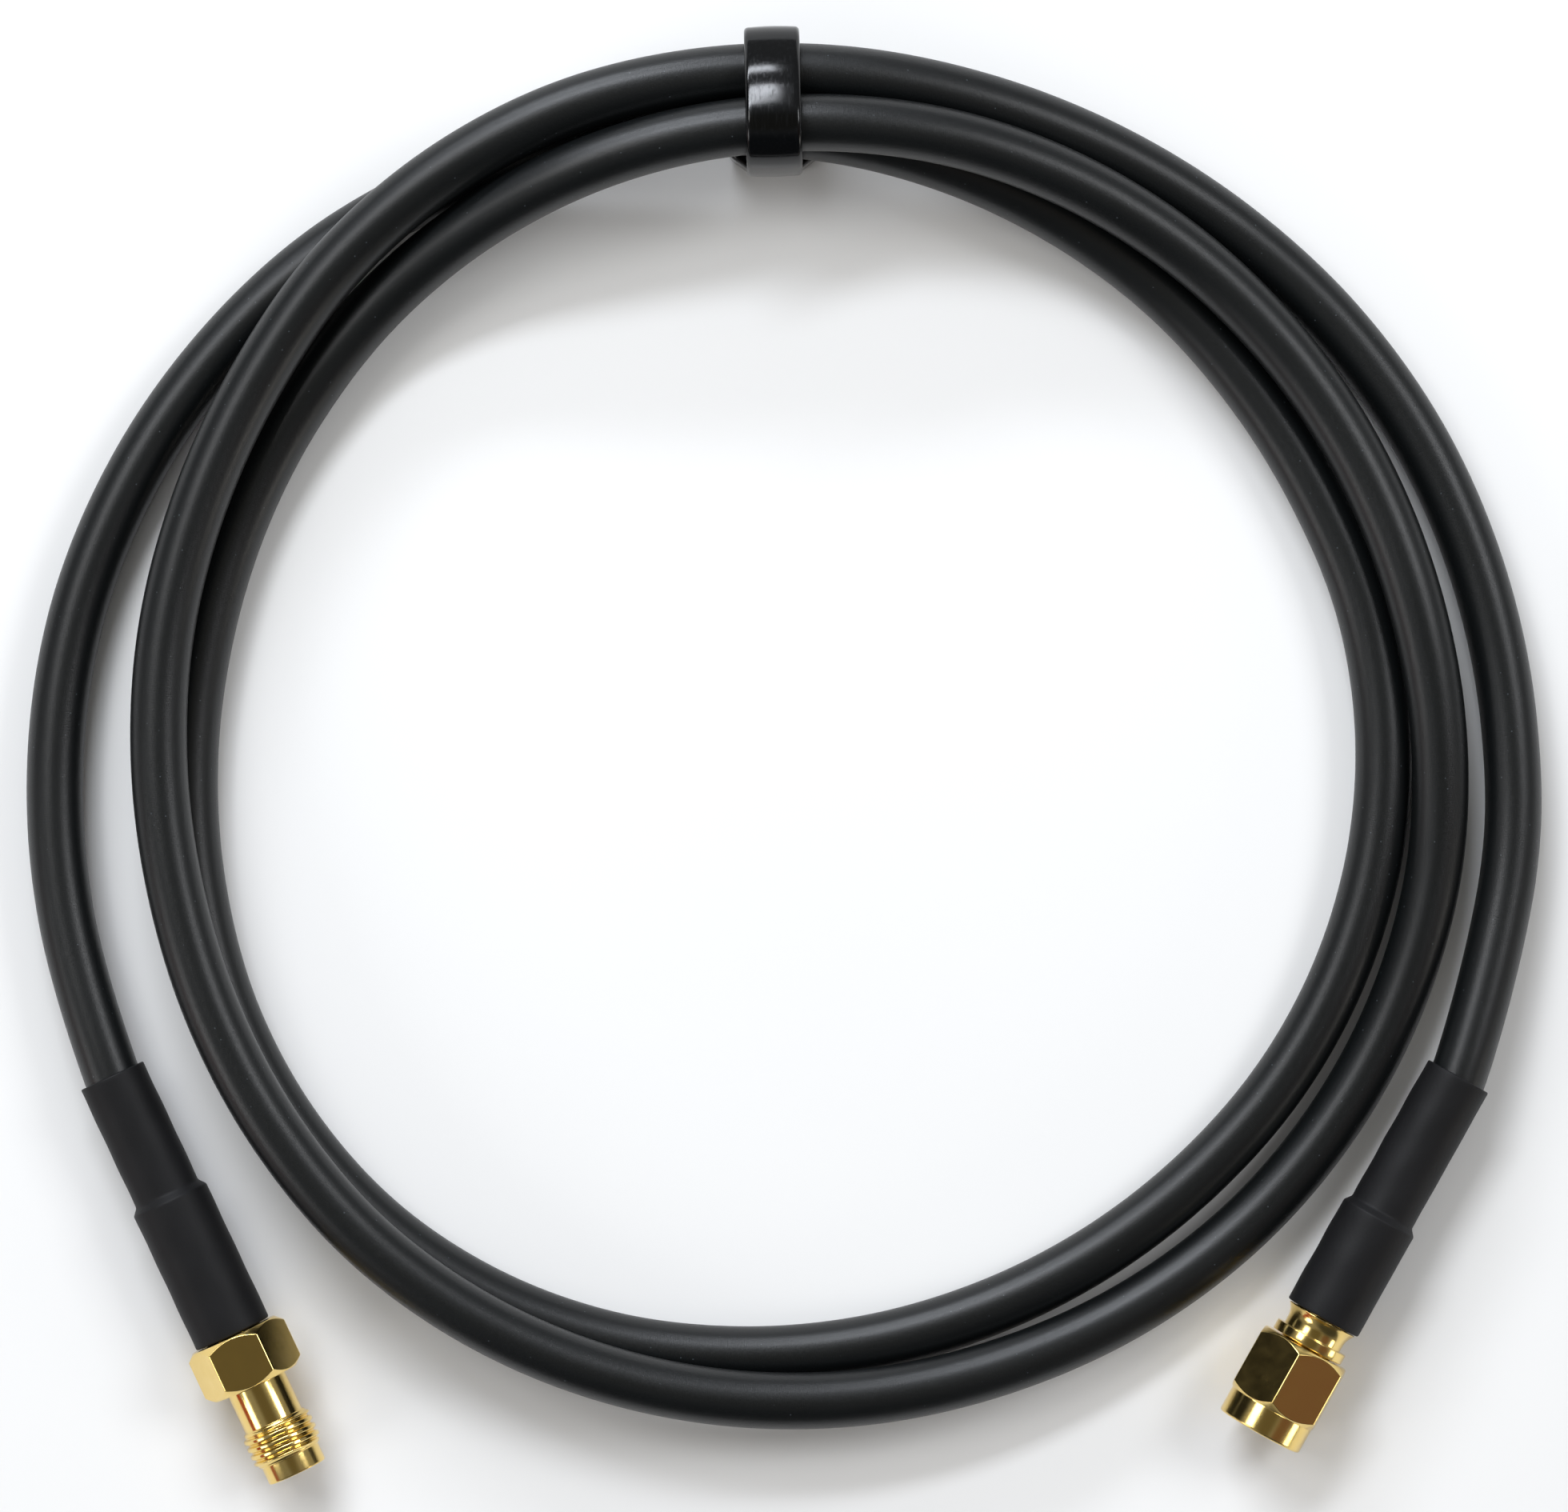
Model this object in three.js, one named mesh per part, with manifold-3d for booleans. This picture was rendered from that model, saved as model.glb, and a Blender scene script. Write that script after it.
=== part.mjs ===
// A coil of coaxial cable with a threaded jack on one end and a plug on the other.
// Millimetres, +Z up. The coil lies on the floor at z = 0.

import * as THREE from "three";
import { mergeVertices } from "three/addons/utils/BufferGeometryUtils.js";
import Module from "manifold-3d";

const wasm = await Module();
wasm.setup();

// Cable and coil
const cable_diameter = 4.95;
const cable_sides = 12;
const turn_gap = 0.2; // air left between turns that lie on each other
const coil_radius = 50.9; // centre line of the innermost turn
const coil_step = 12; // degrees of turn between two points of the cable

// Cable tie
const tie_clock = 358.6; // where the tie sits, in degrees clockwise from +Y
const tie_clearance = 0.3;
const strap_width = 4.8;
const strap_thickness = 1.3;
const head_overlap = 0.6; // how far the head's root is set back under the strap
const head_length = 7.4;
const head_width = 7.8;
const head_thickness = 4.2;
const head_taper = 1.6;
const lift_reach = 50; // degrees over which the lifted turns come down to the floor

// Sleeves and ferrules
const fit_clearance = 0.1;
const jack_sleeve_length = 24.9;
const plug_sleeve_length = 24.15;
const sleeve_wall = 0.4;
const sleeve_step = 0.6; // length of the slope where the sleeve climbs on the ferrule
const ferrule_wall = 0.4;
const stem_length = 5.4; // of each body, inside its ferrule
const jack_lap = 11.4; // sleeve on the bare cable
const plug_lap = 13.6;

// Thread, jack and nut
const thread_diameter = 6.35;
const thread_pitch = 0.7056;
const thread_depth = 0.4;
const hex_across = 8.0;
const hex_crown_diameter = 7.8; // the chamfers' round ends
const hex_chamfer = 0.68; // along the axis, at the corners
const edge_chamfer = 0.2;
const dielectric_length = 5.4;
const contact_diameter = 1.27;
const pin_diameter = 0.914;

const jack_neck = 0.1; // between the sleeve's end and the hexagon
const jack_hex_length = 4.7;
const jack_barrel_diameter = 5.4;
const jack_barrel_length = 3.6;
const jack_thread_turns = 4.75;
const jack_lip_diameter = 5.38;
const jack_lip_length = 1.6;
const jack_mouth_diameter = 4.6;
const jack_mouth_depth = 1.95;
const jack_dielectric_diameter = 4.1;

const plug_flare_diameter = 6.5;
const plug_flare_length = 1.25;
const plug_neck_diameter = 5.45;
const plug_neck_length = 0.6;
const plug_flange_diameter = 6.7;
const plug_flange_length = 0.9;
const plug_outer_contact_diameter = 4.57;
const plug_outer_contact_wall = 0.25;
const plug_shoulder_diameter = 5.2;
const plug_shoulder_height = 0.3; // above the neck that the nut turns on
const plug_shoulder_length = 0.8;
const plug_pin_reach = 1.6;

const nut_running_clearance = 0.15;
const nut_hex_length = 6.1;
const nut_collar_length = 2.3;
const nut_collar_diameter = 7.84;
const nut_lip_length = 0.9;
const nut_turn = -21.6; // degrees that the hexagon is turned away from a flat on top
const nut_mouth_chamfer = 0.35;
const nut_bore_recess = 2.5; // the outer contact ends this far inside the nut's mouth

const round_segments = 32;

// Where the cable goes into each connector's sleeve, and the way the connector points
const jack_station = { clock: 243.9, lane: 2.91 };
const jack_heading = new THREE.Vector2(0.4244, -0.9055);
const plug_station = { clock: 116.4, lane: 2.79 };
const plug_heading = new THREE.Vector2(-0.4898, -0.8719);

// The cable's route through its turns, one station each 20 degrees of turn.
// Clock counts degrees clockwise from +Y and keeps counting from turn to turn.
// Lane is the distance outside coil_radius and level the height above a turn on
// the floor, both in pitches of the turns.
const route_stations = [
  { clock: 240, lane: 2.94, level: 0.3 },
  { clock: 260, lane: 2.7, level: 0.1 },
  { clock: 280, lane: 2.43, level: 0 },
  { clock: 300, lane: 1.99, level: 0 },
  { clock: 320, lane: 1.52, level: 0 },
  { clock: 340, lane: 0.87, level: 0 },
  { clock: 360, lane: 0.5, level: 0 },
  { clock: 380, lane: 0.24, level: 0 },
  { clock: 400, lane: 0.1, level: 0 },
  { clock: 420, lane: 0.03, level: 0 },
  { clock: 440, lane: 0.19, level: 0 },
  { clock: 460, lane: 0.26, level: 0 },
  { clock: 480, lane: 0.26, level: 0 },
  { clock: 500, lane: 0.22, level: 0 },
  { clock: 520, lane: 0.29, level: 0 },
  { clock: 540, lane: 0.48, level: 0 },
  { clock: 560, lane: 0.73, level: 0 },
  { clock: 580, lane: 0.85, level: 0 },
  { clock: 600, lane: 0.7, level: 0 },
  { clock: 620, lane: 0.41, level: 0 },
  { clock: 640, lane: 0.21, level: 0 },
  { clock: 660, lane: 0.21, level: 0.05 },
  { clock: 680, lane: 0.33, level: 0.4 },
  { clock: 700, lane: 0.4, level: 0.93 },
  { clock: 720, lane: 0.51, level: 1 },
  { clock: 740, lane: 0.69, level: 0.9 },
  { clock: 760, lane: 0.81, level: 0.72 },
  { clock: 780, lane: 0.88, level: 0.6 },
  { clock: 800, lane: 1.02, level: 0.56 },
  { clock: 820, lane: 1.27, level: 0.24 },
  { clock: 840, lane: 1.37, level: 0.02 },
  { clock: 860, lane: 1.38, level: 0.05 },
  { clock: 880, lane: 1.28, level: 0.38 },
  { clock: 900, lane: 1.23, level: 0.7 },
  { clock: 920, lane: 1.18, level: 0.92 },
  { clock: 940, lane: 1.11, level: 0.95 },
  { clock: 960, lane: 0.89, level: 0.97 },
  { clock: 980, lane: 0.75, level: 0.93 },
  { clock: 1000, lane: 0.8, level: 0.9 },
  { clock: 1020, lane: 0.94, level: 0.95 },
  { clock: 1040, lane: 1.27, level: 1.03 },
  { clock: 1060, lane: 1.43, level: 0.87 },
  { clock: 1080, lane: 1.42, level: 0.5 },
  { clock: 1100, lane: 1.46, level: 0.28 },
  { clock: 1120, lane: 1.68, level: 0.05 },
  { clock: 1140, lane: 1.98, level: 0 },
  { clock: 1160, lane: 2.25, level: 0 },
  { clock: 1180, lane: 2.54, level: 0.1 },
  { clock: 1200, lane: 2.76, level: 0.4 },
];

// Sizes that follow from the ones above
const cable_radius = cable_diameter / 2;
const turn_pitch = cable_diameter + turn_gap;
const tie_lift = head_thickness + tie_clearance;
const ferrule_inner = cable_radius + fit_clearance;
const ferrule_outer = ferrule_inner + ferrule_wall;
const sleeve_thin_inner = cable_radius + fit_clearance;
const sleeve_thick_inner = ferrule_outer + fit_clearance;
const hex_corner_radius = hex_across / Math.sqrt(3);
const jack_hex_start = jack_sleeve_length + jack_neck;
const jack_thread_start = jack_hex_start + jack_hex_length + jack_barrel_length;
const jack_thread_length = thread_pitch * jack_thread_turns;
const jack_front = jack_thread_start + jack_thread_length + jack_lip_length;
const plug_flare_start = plug_sleeve_length + fit_clearance;
const plug_flange_start = plug_flare_start + plug_flare_length + plug_neck_length;
const nut_start = plug_flange_start + plug_flange_length + nut_running_clearance;
const nut_front = nut_start + nut_hex_length + nut_collar_length;
const plug_face = nut_front - nut_bore_recess;
const nut_neck_radius = plug_shoulder_diameter / 2 - plug_shoulder_height;
const nut_bore_radius = thread_diameter / 2 - thread_depth + nut_running_clearance;

const gold = new THREE.MeshStandardMaterial({ color: 0xd9a93f, roughness: 0.18, metalness: 1 });
const jacket = new THREE.MeshStandardMaterial({ color: 0x24272a, roughness: 0.45, metalness: 0 });
const shrink = new THREE.MeshStandardMaterial({ color: 0x1d1e1f, roughness: 0.6, metalness: 0 });
const nylon = new THREE.MeshStandardMaterial({ color: 0x0d0e10, roughness: 0.25, metalness: 0 });
const crimp = new THREE.MeshStandardMaterial({ color: 0xc9c6bd, roughness: 0.3, metalness: 1 });
const insulator = new THREE.MeshStandardMaterial({ color: 0xf2f0ea, roughness: 0.4, metalness: 0 });

// Merges a closed geometry's shared vertices and makes a solid of it for cutting.
function solid(geometry) {
  const bare = new THREE.BufferGeometry();
  bare.setAttribute("position", geometry.getAttribute("position").clone());
  if (geometry.index) {
    bare.setIndex(geometry.index.clone());
  }
  const merged = mergeVertices(bare, 1e-4);
  const corners = merged.index.array;
  const faces = [];
  for (let i = 0; i < corners.length; i += 3) {
    const [a, b, c] = [corners[i], corners[i + 1], corners[i + 2]];
    if (a !== b && b !== c && c !== a) {
      faces.push(a, b, c);
    }
  }
  return new wasm.Manifold(
    new wasm.Mesh({
      numProp: 3,
      vertProperties: new Float32Array(merged.getAttribute("position").array),
      triVerts: new Uint32Array(faces),
    })
  );
}

// Names a solid as one piece of the part.
function piece(name, body, material) {
  const mesh = body.getMesh();
  const geometry = new THREE.BufferGeometry();
  geometry.setAttribute("position", new THREE.BufferAttribute(mesh.vertProperties, 3));
  geometry.setIndex(new THREE.BufferAttribute(mesh.triVerts, 1));
  geometry.computeVertexNormals();
  const named = new THREE.Mesh(geometry, material.clone());
  named.name = name;
  return named;
}

// Turns a profile of [radius, distance along the axis] pairs about the Y axis.
// A profile that starts and ends on the axis gives a solid bar, a closed one a ring.
function turned(profile, segments = round_segments) {
  const points = profile.map(([radius, along]) => new THREE.Vector2(radius, along));
  return solid(new THREE.LatheGeometry(points, segments));
}

// A plain or chamfered bar from one distance to another along the Y axis.
function bar(radius, from, to, chamfer = 0) {
  return turned([
    [0, from],
    [radius, from],
    [radius, to - chamfer],
    [radius - chamfer, to],
    [0, to],
  ].filter(([r, a], i, all) => i === 0 || r !== all[i - 1][0] || a !== all[i - 1][1]));
}

// A tube from one distance to another along the Y axis.
function sleeve_ring(inner, outer, from, to) {
  return turned([
    [inner, from],
    [outer, from],
    [outer, to],
    [inner, to],
    [inner, from],
  ]);
}

// A hexagonal bar along Y with a flat on top and chamfered corners at both ends.
function hexagon(from, to, turn) {
  const prism = new THREE.CylinderGeometry(hex_corner_radius, hex_corner_radius, to - from, 6);
  prism.rotateY(THREE.MathUtils.degToRad(turn + 30));
  prism.translate(0, (from + to) / 2, 0);
  const crown_radius = hex_crown_diameter / 2;
  const clear_radius = hex_corner_radius * 1.05;
  const share = (clear_radius - crown_radius) / (hex_corner_radius - crown_radius);
  const crown = turned([
    [0, from],
    [crown_radius, from],
    [clear_radius, from + hex_chamfer * share],
    [clear_radius, to - hex_chamfer * share],
    [crown_radius, to],
    [0, to],
  ]);
  return solid(prism).intersect(crown);
}

// The ridges of a thread as rings, from one distance along the axis.
function thread_profile(from, turns) {
  const crest = thread_diameter / 2;
  const root = crest - thread_depth;
  const profile = [[0, from], [root, from]];
  for (let turn = 0; turn < Math.floor(turns); turn += 1) {
    const start = from + turn * thread_pitch;
    profile.push([crest, start + thread_pitch * 0.42]);
    profile.push([crest, start + thread_pitch * 0.58]);
    profile.push([root, start + thread_pitch]);
  }
  const end = from + turns * thread_pitch;
  profile.push([root, end]);
  profile.push([0, end]);
  return turned(profile);
}

// Follows its own points one by one, so that neighbouring turns keep their facets
// parallel and stay a pitch apart.
class PointRoute extends THREE.CatmullRomCurve3 {
  getUtoTmapping(u) {
    return u;
  }
}

// Share of the tie's lift that is left at a clock angle.
function lift_share(clock) {
  const away = Math.abs(THREE.MathUtils.euclideanModulo(clock - tie_clock + 180, 360) - 180);
  if (away >= lift_reach) {
    return 0;
  }
  return 0.5 + 0.5 * Math.cos((Math.PI * away) / lift_reach);
}

const first_clock = route_stations[0].clock;
const last_clock = route_stations[route_stations.length - 1].clock;
const lanes = new THREE.CatmullRomCurve3(
  route_stations.map(({ clock, lane, level }) => new THREE.Vector3(clock, lane, level)),
  false,
  "catmullrom",
  0.5
);

// A point at a clock angle and a height, in a lane of the coil.
function lane_point({ clock, lane }, height) {
  const radius = coil_radius + lane * turn_pitch;
  const angle = THREE.MathUtils.degToRad(clock);
  return new THREE.Vector3(radius * Math.sin(angle), radius * Math.cos(angle), height);
}

// The point of the cable's centre line at a clock angle.
function cable_point(clock) {
  const { y: lane, z: level } = lanes.getPoint((clock - first_clock) / (last_clock - first_clock));
  const height = cable_radius + Math.max(0, level) * turn_pitch + lift_share(clock) * tie_lift;
  return lane_point({ clock, lane }, height);
}

// A connector's own frame: +Y runs along it from the sleeve's cable end to its mouth.
function connector_frame(station, heading, height) {
  const frame = new THREE.Group();
  frame.position.copy(lane_point(station, height));
  frame.rotation.z = Math.atan2(heading.y, heading.x) - Math.PI / 2;
  return frame;
}

const jack = connector_frame(jack_station, jack_heading, hex_across / 2);
const plug = connector_frame(plug_station, plug_heading, hex_corner_radius);

// The stretch of cable inside a connector, from its cut end to the sleeve's mouth.
function cable_end(frame, cut) {
  frame.updateMatrixWorld();
  return [cut, cut / 2, 0].map((along) => frame.localToWorld(new THREE.Vector3(0, along, 0)));
}

const jack_cut = jack_hex_start - stem_length - fit_clearance;
const plug_cut = plug_flare_start - stem_length - fit_clearance;

// Cable: one length from the jack, round the coil, to the plug
const route = [...cable_end(jack, jack_cut)];
const coil_first = Math.ceil((first_clock + 12 - tie_clock) / coil_step) * coil_step + tie_clock;
for (let clock = coil_first - coil_step / 2; clock < last_clock - coil_step * 0.9; clock += coil_step) {
  route.push(cable_point(clock));
}
route.push(...cable_end(plug, plug_cut).reverse());

const cable_section = new THREE.Shape();
cable_section.absarc(0, 0, cable_radius, 0, 2 * Math.PI);
const cable = solid(
  new THREE.ExtrudeGeometry(cable_section, {
    curveSegments: cable_sides / 2,
    steps: route.length - 1,
    extrudePath: new PointRoute(route, false, "catmullrom", 0.5),
  })
);

// Tie: a strap pulled round three turns, with its head underneath
const facet_share = Math.cos(THREE.MathUtils.degToRad(coil_step / 2));
const tied_turns = [tie_clock, tie_clock + 720, tie_clock + 360].map((clock) => {
  const point = cable_point(clock);
  return new THREE.Vector2(Math.hypot(point.x, point.y) * facet_share, point.z);
});

// The outline of a band pulled round the tied turns at a distance from their centres.
function strap_outline(outline, distance) {
  tied_turns.forEach((centre, i) => {
    const before = tied_turns[(i + 2) % 3];
    const after = tied_turns[(i + 1) % 3];
    const from = Math.atan2(centre.y - before.y, centre.x - before.x) - Math.PI / 2;
    const to = Math.atan2(after.y - centre.y, after.x - centre.x) - Math.PI / 2;
    outline.absarc(centre.x, centre.y, distance, from, to, false);
  });
  outline.closePath();
  return outline;
}

const strap_inside = cable_radius + tie_clearance;
const strap_shape = strap_outline(new THREE.Shape(), strap_inside + strap_thickness);
strap_shape.holes.push(strap_outline(new THREE.Path(), strap_inside));
const strap_geometry = new THREE.ExtrudeGeometry(strap_shape, {
  depth: strap_width,
  curveSegments: 9,
  bevelEnabled: false,
});
strap_geometry.rotateX(Math.PI / 2);
strap_geometry.translate(0, strap_width / 2, 0);

const head_root = tied_turns[0].x - strap_inside - strap_thickness + head_overlap;
const head_shape = new THREE.Shape();
head_shape.moveTo(head_root, -strap_width / 2);
head_shape.lineTo(head_root + head_taper, -head_width / 2);
head_shape.lineTo(head_root + head_length, -head_width / 2);
head_shape.lineTo(head_root + head_length, head_width / 2);
head_shape.lineTo(head_root + head_taper, head_width / 2);
head_shape.lineTo(head_root, strap_width / 2);
head_shape.closePath();
const head_geometry = new THREE.ExtrudeGeometry(head_shape, {
  depth: head_thickness,
  bevelEnabled: false,
});

const tie_frame = new THREE.Group();
tie_frame.rotation.z = Math.PI / 2 - THREE.MathUtils.degToRad(tie_clock);
tie_frame.add(piece("cable_tie", solid(strap_geometry).add(solid(head_geometry)), nylon));

// Shrunk sleeve: thin on the cable, thick over the ferrule
function heat_shrink(lap, length) {
  const climb_end = lap + sleeve_step;
  return turned([
    [sleeve_thin_inner, 0],
    [sleeve_thin_inner + sleeve_wall, 0],
    [sleeve_thin_inner + sleeve_wall, lap],
    [sleeve_thick_inner + sleeve_wall, climb_end],
    [sleeve_thick_inner + sleeve_wall, length],
    [sleeve_thick_inner, length],
    [sleeve_thick_inner, climb_end],
    [sleeve_thin_inner, lap],
    [sleeve_thin_inner, 0],
  ]);
}

// Crimp ferrule, from just past the sleeve's slope to the sleeve's front end
function ferrule(lap, length) {
  return sleeve_ring(ferrule_inner, ferrule_outer, lap + sleeve_step + fit_clearance, length);
}

// Jack: stem, hexagon, barrel, thread and lip in one machined body
const jack_mouth_floor = jack_front - jack_mouth_depth;
const jack_socket_floor = jack_mouth_floor - dielectric_length - fit_clearance;
const jack_socket_radius = jack_dielectric_diameter / 2 + fit_clearance;
const jack_thread_end = jack_thread_start + jack_thread_length;
const jack_body = bar(cable_radius, jack_hex_start - stem_length, jack_hex_start + 1)
  .add(hexagon(jack_hex_start, jack_hex_start + jack_hex_length, 0))
  .add(bar(jack_barrel_diameter / 2, jack_hex_start + 1, jack_thread_start + 1))
  .add(thread_profile(jack_thread_start, jack_thread_turns))
  .add(bar(jack_lip_diameter / 2, jack_thread_end - 1, jack_front, edge_chamfer))
  .subtract(bar(jack_mouth_diameter / 2, jack_mouth_floor, jack_front + 1))
  .subtract(bar(jack_socket_radius, jack_socket_floor, jack_mouth_floor + 1));

const contact_hole_radius = contact_diameter / 2 + fit_clearance;
const jack_dielectric = sleeve_ring(
  contact_hole_radius,
  jack_dielectric_diameter / 2,
  jack_mouth_floor - dielectric_length,
  jack_mouth_floor
);
const jack_contact = bar(contact_diameter / 2, jack_mouth_floor - dielectric_length, jack_mouth_floor)
  .subtract(bar(pin_diameter / 2, jack_mouth_floor - dielectric_length / 2, jack_mouth_floor + 1));

jack.add(piece("jack_heat_shrink", heat_shrink(jack_lap, jack_sleeve_length), shrink));
jack.add(piece("jack_ferrule", ferrule(jack_lap, jack_sleeve_length), crimp));
jack.add(piece("jack_body", jack_body, gold));
jack.add(piece("jack_dielectric", jack_dielectric, insulator));
jack.add(piece("jack_contact", jack_contact, gold));

// Plug body: stem, waisted flare, flange, snap shoulder and outer contact
const plug_neck_start = plug_flare_start + plug_flare_length;
const plug_flange_end = plug_flange_start + plug_flange_length;
const shoulder_start = nut_start + nut_lip_length + nut_running_clearance;
const shoulder_end = shoulder_start + plug_shoulder_length;
const plug_core_radius = plug_outer_contact_diameter / 2 - plug_outer_contact_wall;
const plug_waist = [0, 0.25, 0.5, 0.75, 1].map((share) => {
  const radii = [plug_flare_diameter / 2, plug_neck_diameter / 2];
  const radius = radii[1] + (radii[0] - radii[1]) * (1 - share) ** 2;
  return [radius, plug_flare_start + share * plug_flare_length];
});
const plug_body = turned([
  [0, plug_flare_start - stem_length],
  [cable_radius, plug_flare_start - stem_length],
  [cable_radius, plug_flare_start],
  ...plug_waist,
  [plug_neck_diameter / 2, plug_flange_start],
  [plug_flange_diameter / 2, plug_flange_start],
  [plug_flange_diameter / 2, plug_flange_end],
  [nut_neck_radius, plug_flange_end],
  [nut_neck_radius, shoulder_start],
  [plug_shoulder_diameter / 2, shoulder_start],
  [plug_shoulder_diameter / 2, shoulder_end],
  [plug_outer_contact_diameter / 2, shoulder_end],
  [plug_outer_contact_diameter / 2, plug_face],
  [0, plug_face],
]).subtract(bar(plug_core_radius, plug_face - dielectric_length - fit_clearance, plug_face + 1));

const plug_dielectric = sleeve_ring(
  pin_diameter / 2 + fit_clearance,
  plug_core_radius - fit_clearance,
  plug_face - dielectric_length,
  plug_face
);
const plug_pin = bar(
  pin_diameter / 2,
  plug_face - dielectric_length,
  plug_face + plug_pin_reach,
  edge_chamfer
);

// Coupling nut: hexagon and round collar, with an inward lip that the shoulder holds
const nut_hex_end = nut_start + nut_hex_length;
const coupling_nut = hexagon(nut_start, nut_hex_end, nut_turn)
  .add(bar(nut_collar_diameter / 2, nut_hex_end - 1, nut_front, edge_chamfer))
  .subtract(bar(nut_neck_radius + nut_running_clearance, nut_start - 1, nut_front))
  .subtract(bar(nut_bore_radius, nut_start + nut_lip_length, nut_front + 1))
  .subtract(
    turned([
      [0, nut_front - nut_mouth_chamfer],
      [nut_bore_radius, nut_front - nut_mouth_chamfer],
      [nut_bore_radius + nut_mouth_chamfer, nut_front],
      [nut_bore_radius + nut_mouth_chamfer, nut_front + 1],
      [0, nut_front + 1],
    ])
  );

plug.add(piece("plug_heat_shrink", heat_shrink(plug_lap, plug_sleeve_length), shrink));
plug.add(piece("plug_ferrule", ferrule(plug_lap, plug_sleeve_length), crimp));
plug.add(piece("plug_body", plug_body, gold));
plug.add(piece("plug_coupling_nut", coupling_nut, gold));
plug.add(piece("plug_dielectric", plug_dielectric, insulator));
plug.add(piece("plug_pin", plug_pin, gold));

// The whole assembly, with its origin on the floor under the middle of its outline
const assembly = new THREE.Group();
assembly.add(piece("coax_cable", cable, jacket), tie_frame, jack, plug);
const outline = new THREE.Box3().setFromObject(assembly, true);
const middle = outline.getCenter(new THREE.Vector3());
assembly.position.set(-middle.x, -middle.y, -outline.min.z);

export default assembly;
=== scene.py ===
"""A loose, tied coil of coaxial cable with a threaded jack on one end and a plug on the other.

Each piece is worked out in millimetres in a simple frame of its own, carried to its
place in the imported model's frame, and stored in metres with +Z up.
"""

import logging
import math
from dataclasses import dataclass, field
from enum import Enum
from typing import Any, Callable

import bpy
import numpy as np
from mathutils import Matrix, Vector


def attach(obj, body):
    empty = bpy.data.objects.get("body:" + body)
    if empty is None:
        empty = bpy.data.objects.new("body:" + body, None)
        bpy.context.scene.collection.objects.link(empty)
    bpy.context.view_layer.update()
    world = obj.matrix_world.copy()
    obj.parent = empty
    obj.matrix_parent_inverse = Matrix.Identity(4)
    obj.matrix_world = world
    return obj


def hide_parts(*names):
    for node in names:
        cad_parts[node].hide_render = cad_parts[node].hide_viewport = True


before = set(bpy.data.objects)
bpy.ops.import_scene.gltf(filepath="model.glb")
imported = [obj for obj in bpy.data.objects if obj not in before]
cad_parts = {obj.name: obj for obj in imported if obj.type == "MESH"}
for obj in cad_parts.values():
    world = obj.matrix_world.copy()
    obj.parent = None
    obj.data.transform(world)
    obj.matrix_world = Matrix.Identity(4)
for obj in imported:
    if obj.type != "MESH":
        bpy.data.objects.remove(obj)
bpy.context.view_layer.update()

log = logging.getLogger("cable_coil")

Array = np.ndarray
Colour = tuple[float, float, float, float]
Place = Callable[[Array], Array]

MM = 0.001
TURN = 2 * math.pi
TINY = 1e-9
STRAIGHT = 1e-4  # Least half turn of a corner, so that a straight one has an arc too
MOST_OF_LEG = 0.45  # Share of a leg that one fillet may take up
NEAR_A_POINT = 0.4  # Share of the spacing within which no point is added
FLATS_WEIGHT = 80  # How far large faces outweigh small ones in the normals
ASSEMBLY = "cable_assembly"
NUT = "coupling_nut"
LAID_OUT = "laid_out"


class Skin(Enum):
    """How the first and the last row of a grid are closed."""

    ROD = "each end row is one point"
    RING = "the last row meets the first"


class Profile(Enum):
    """Whether a line of corners comes back to its start."""

    OPEN = "open"
    CLOSED = "closed"


# Shapes


def smooth_step(value: Array) -> Array:
    """Rises from 0 to 1 while the value goes from 0 to 1, level at both ends."""
    share = np.clip(value, 0.0, 1.0)
    return share * share * (3.0 - 2.0 * share)


def unit(vectors: Array) -> Array:
    """Brings the vectors on the last axis to a length of one."""
    return vectors / np.maximum(np.linalg.norm(vectors, axis=-1, keepdims=True), TINY)


def run_lengths(line: Array) -> Array:
    """The distance along a line from its first point to each of its points."""
    legs = np.linalg.norm(np.diff(line, axis=0), axis=1)
    return np.concatenate([[0.0], np.cumsum(legs)])


def at_lengths(stops: Array, along: Array, rows: Array) -> Array:
    """Reads rows that belong to the distances along, straight between them, at each stop."""
    return np.stack([np.interp(stops, along, column) for column in rows.T], axis=1)


def catmull_rom(points: Array, at: Array) -> Array:
    """Carries a smooth curve through points.

    Between two points it is the cubic that leaves each of them along half of the
    chord between that point's neighbours.

    Args:
        points: The points, one row each.
        at: Where to look along the curve, 0 at the first point and 1 more at each next one.

    Returns:
        One row for each entry of at.
    """
    ends = 2 * points[0] - points[1], 2 * points[-1] - points[-2]
    padded = np.vstack([ends[0], points, ends[1]])
    index = np.clip(np.floor(at).astype(int), 0, len(points) - 2)
    t = (at - index)[:, None]
    before, start, end, after = (padded[index + k] for k in range(4))
    return 0.5 * (
        2 * start
        + (end - before) * t
        + (2 * before - 5 * start + 4 * end - after) * t**2
        + (3 * start - before - 3 * end + after) * t**3
    )


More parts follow.
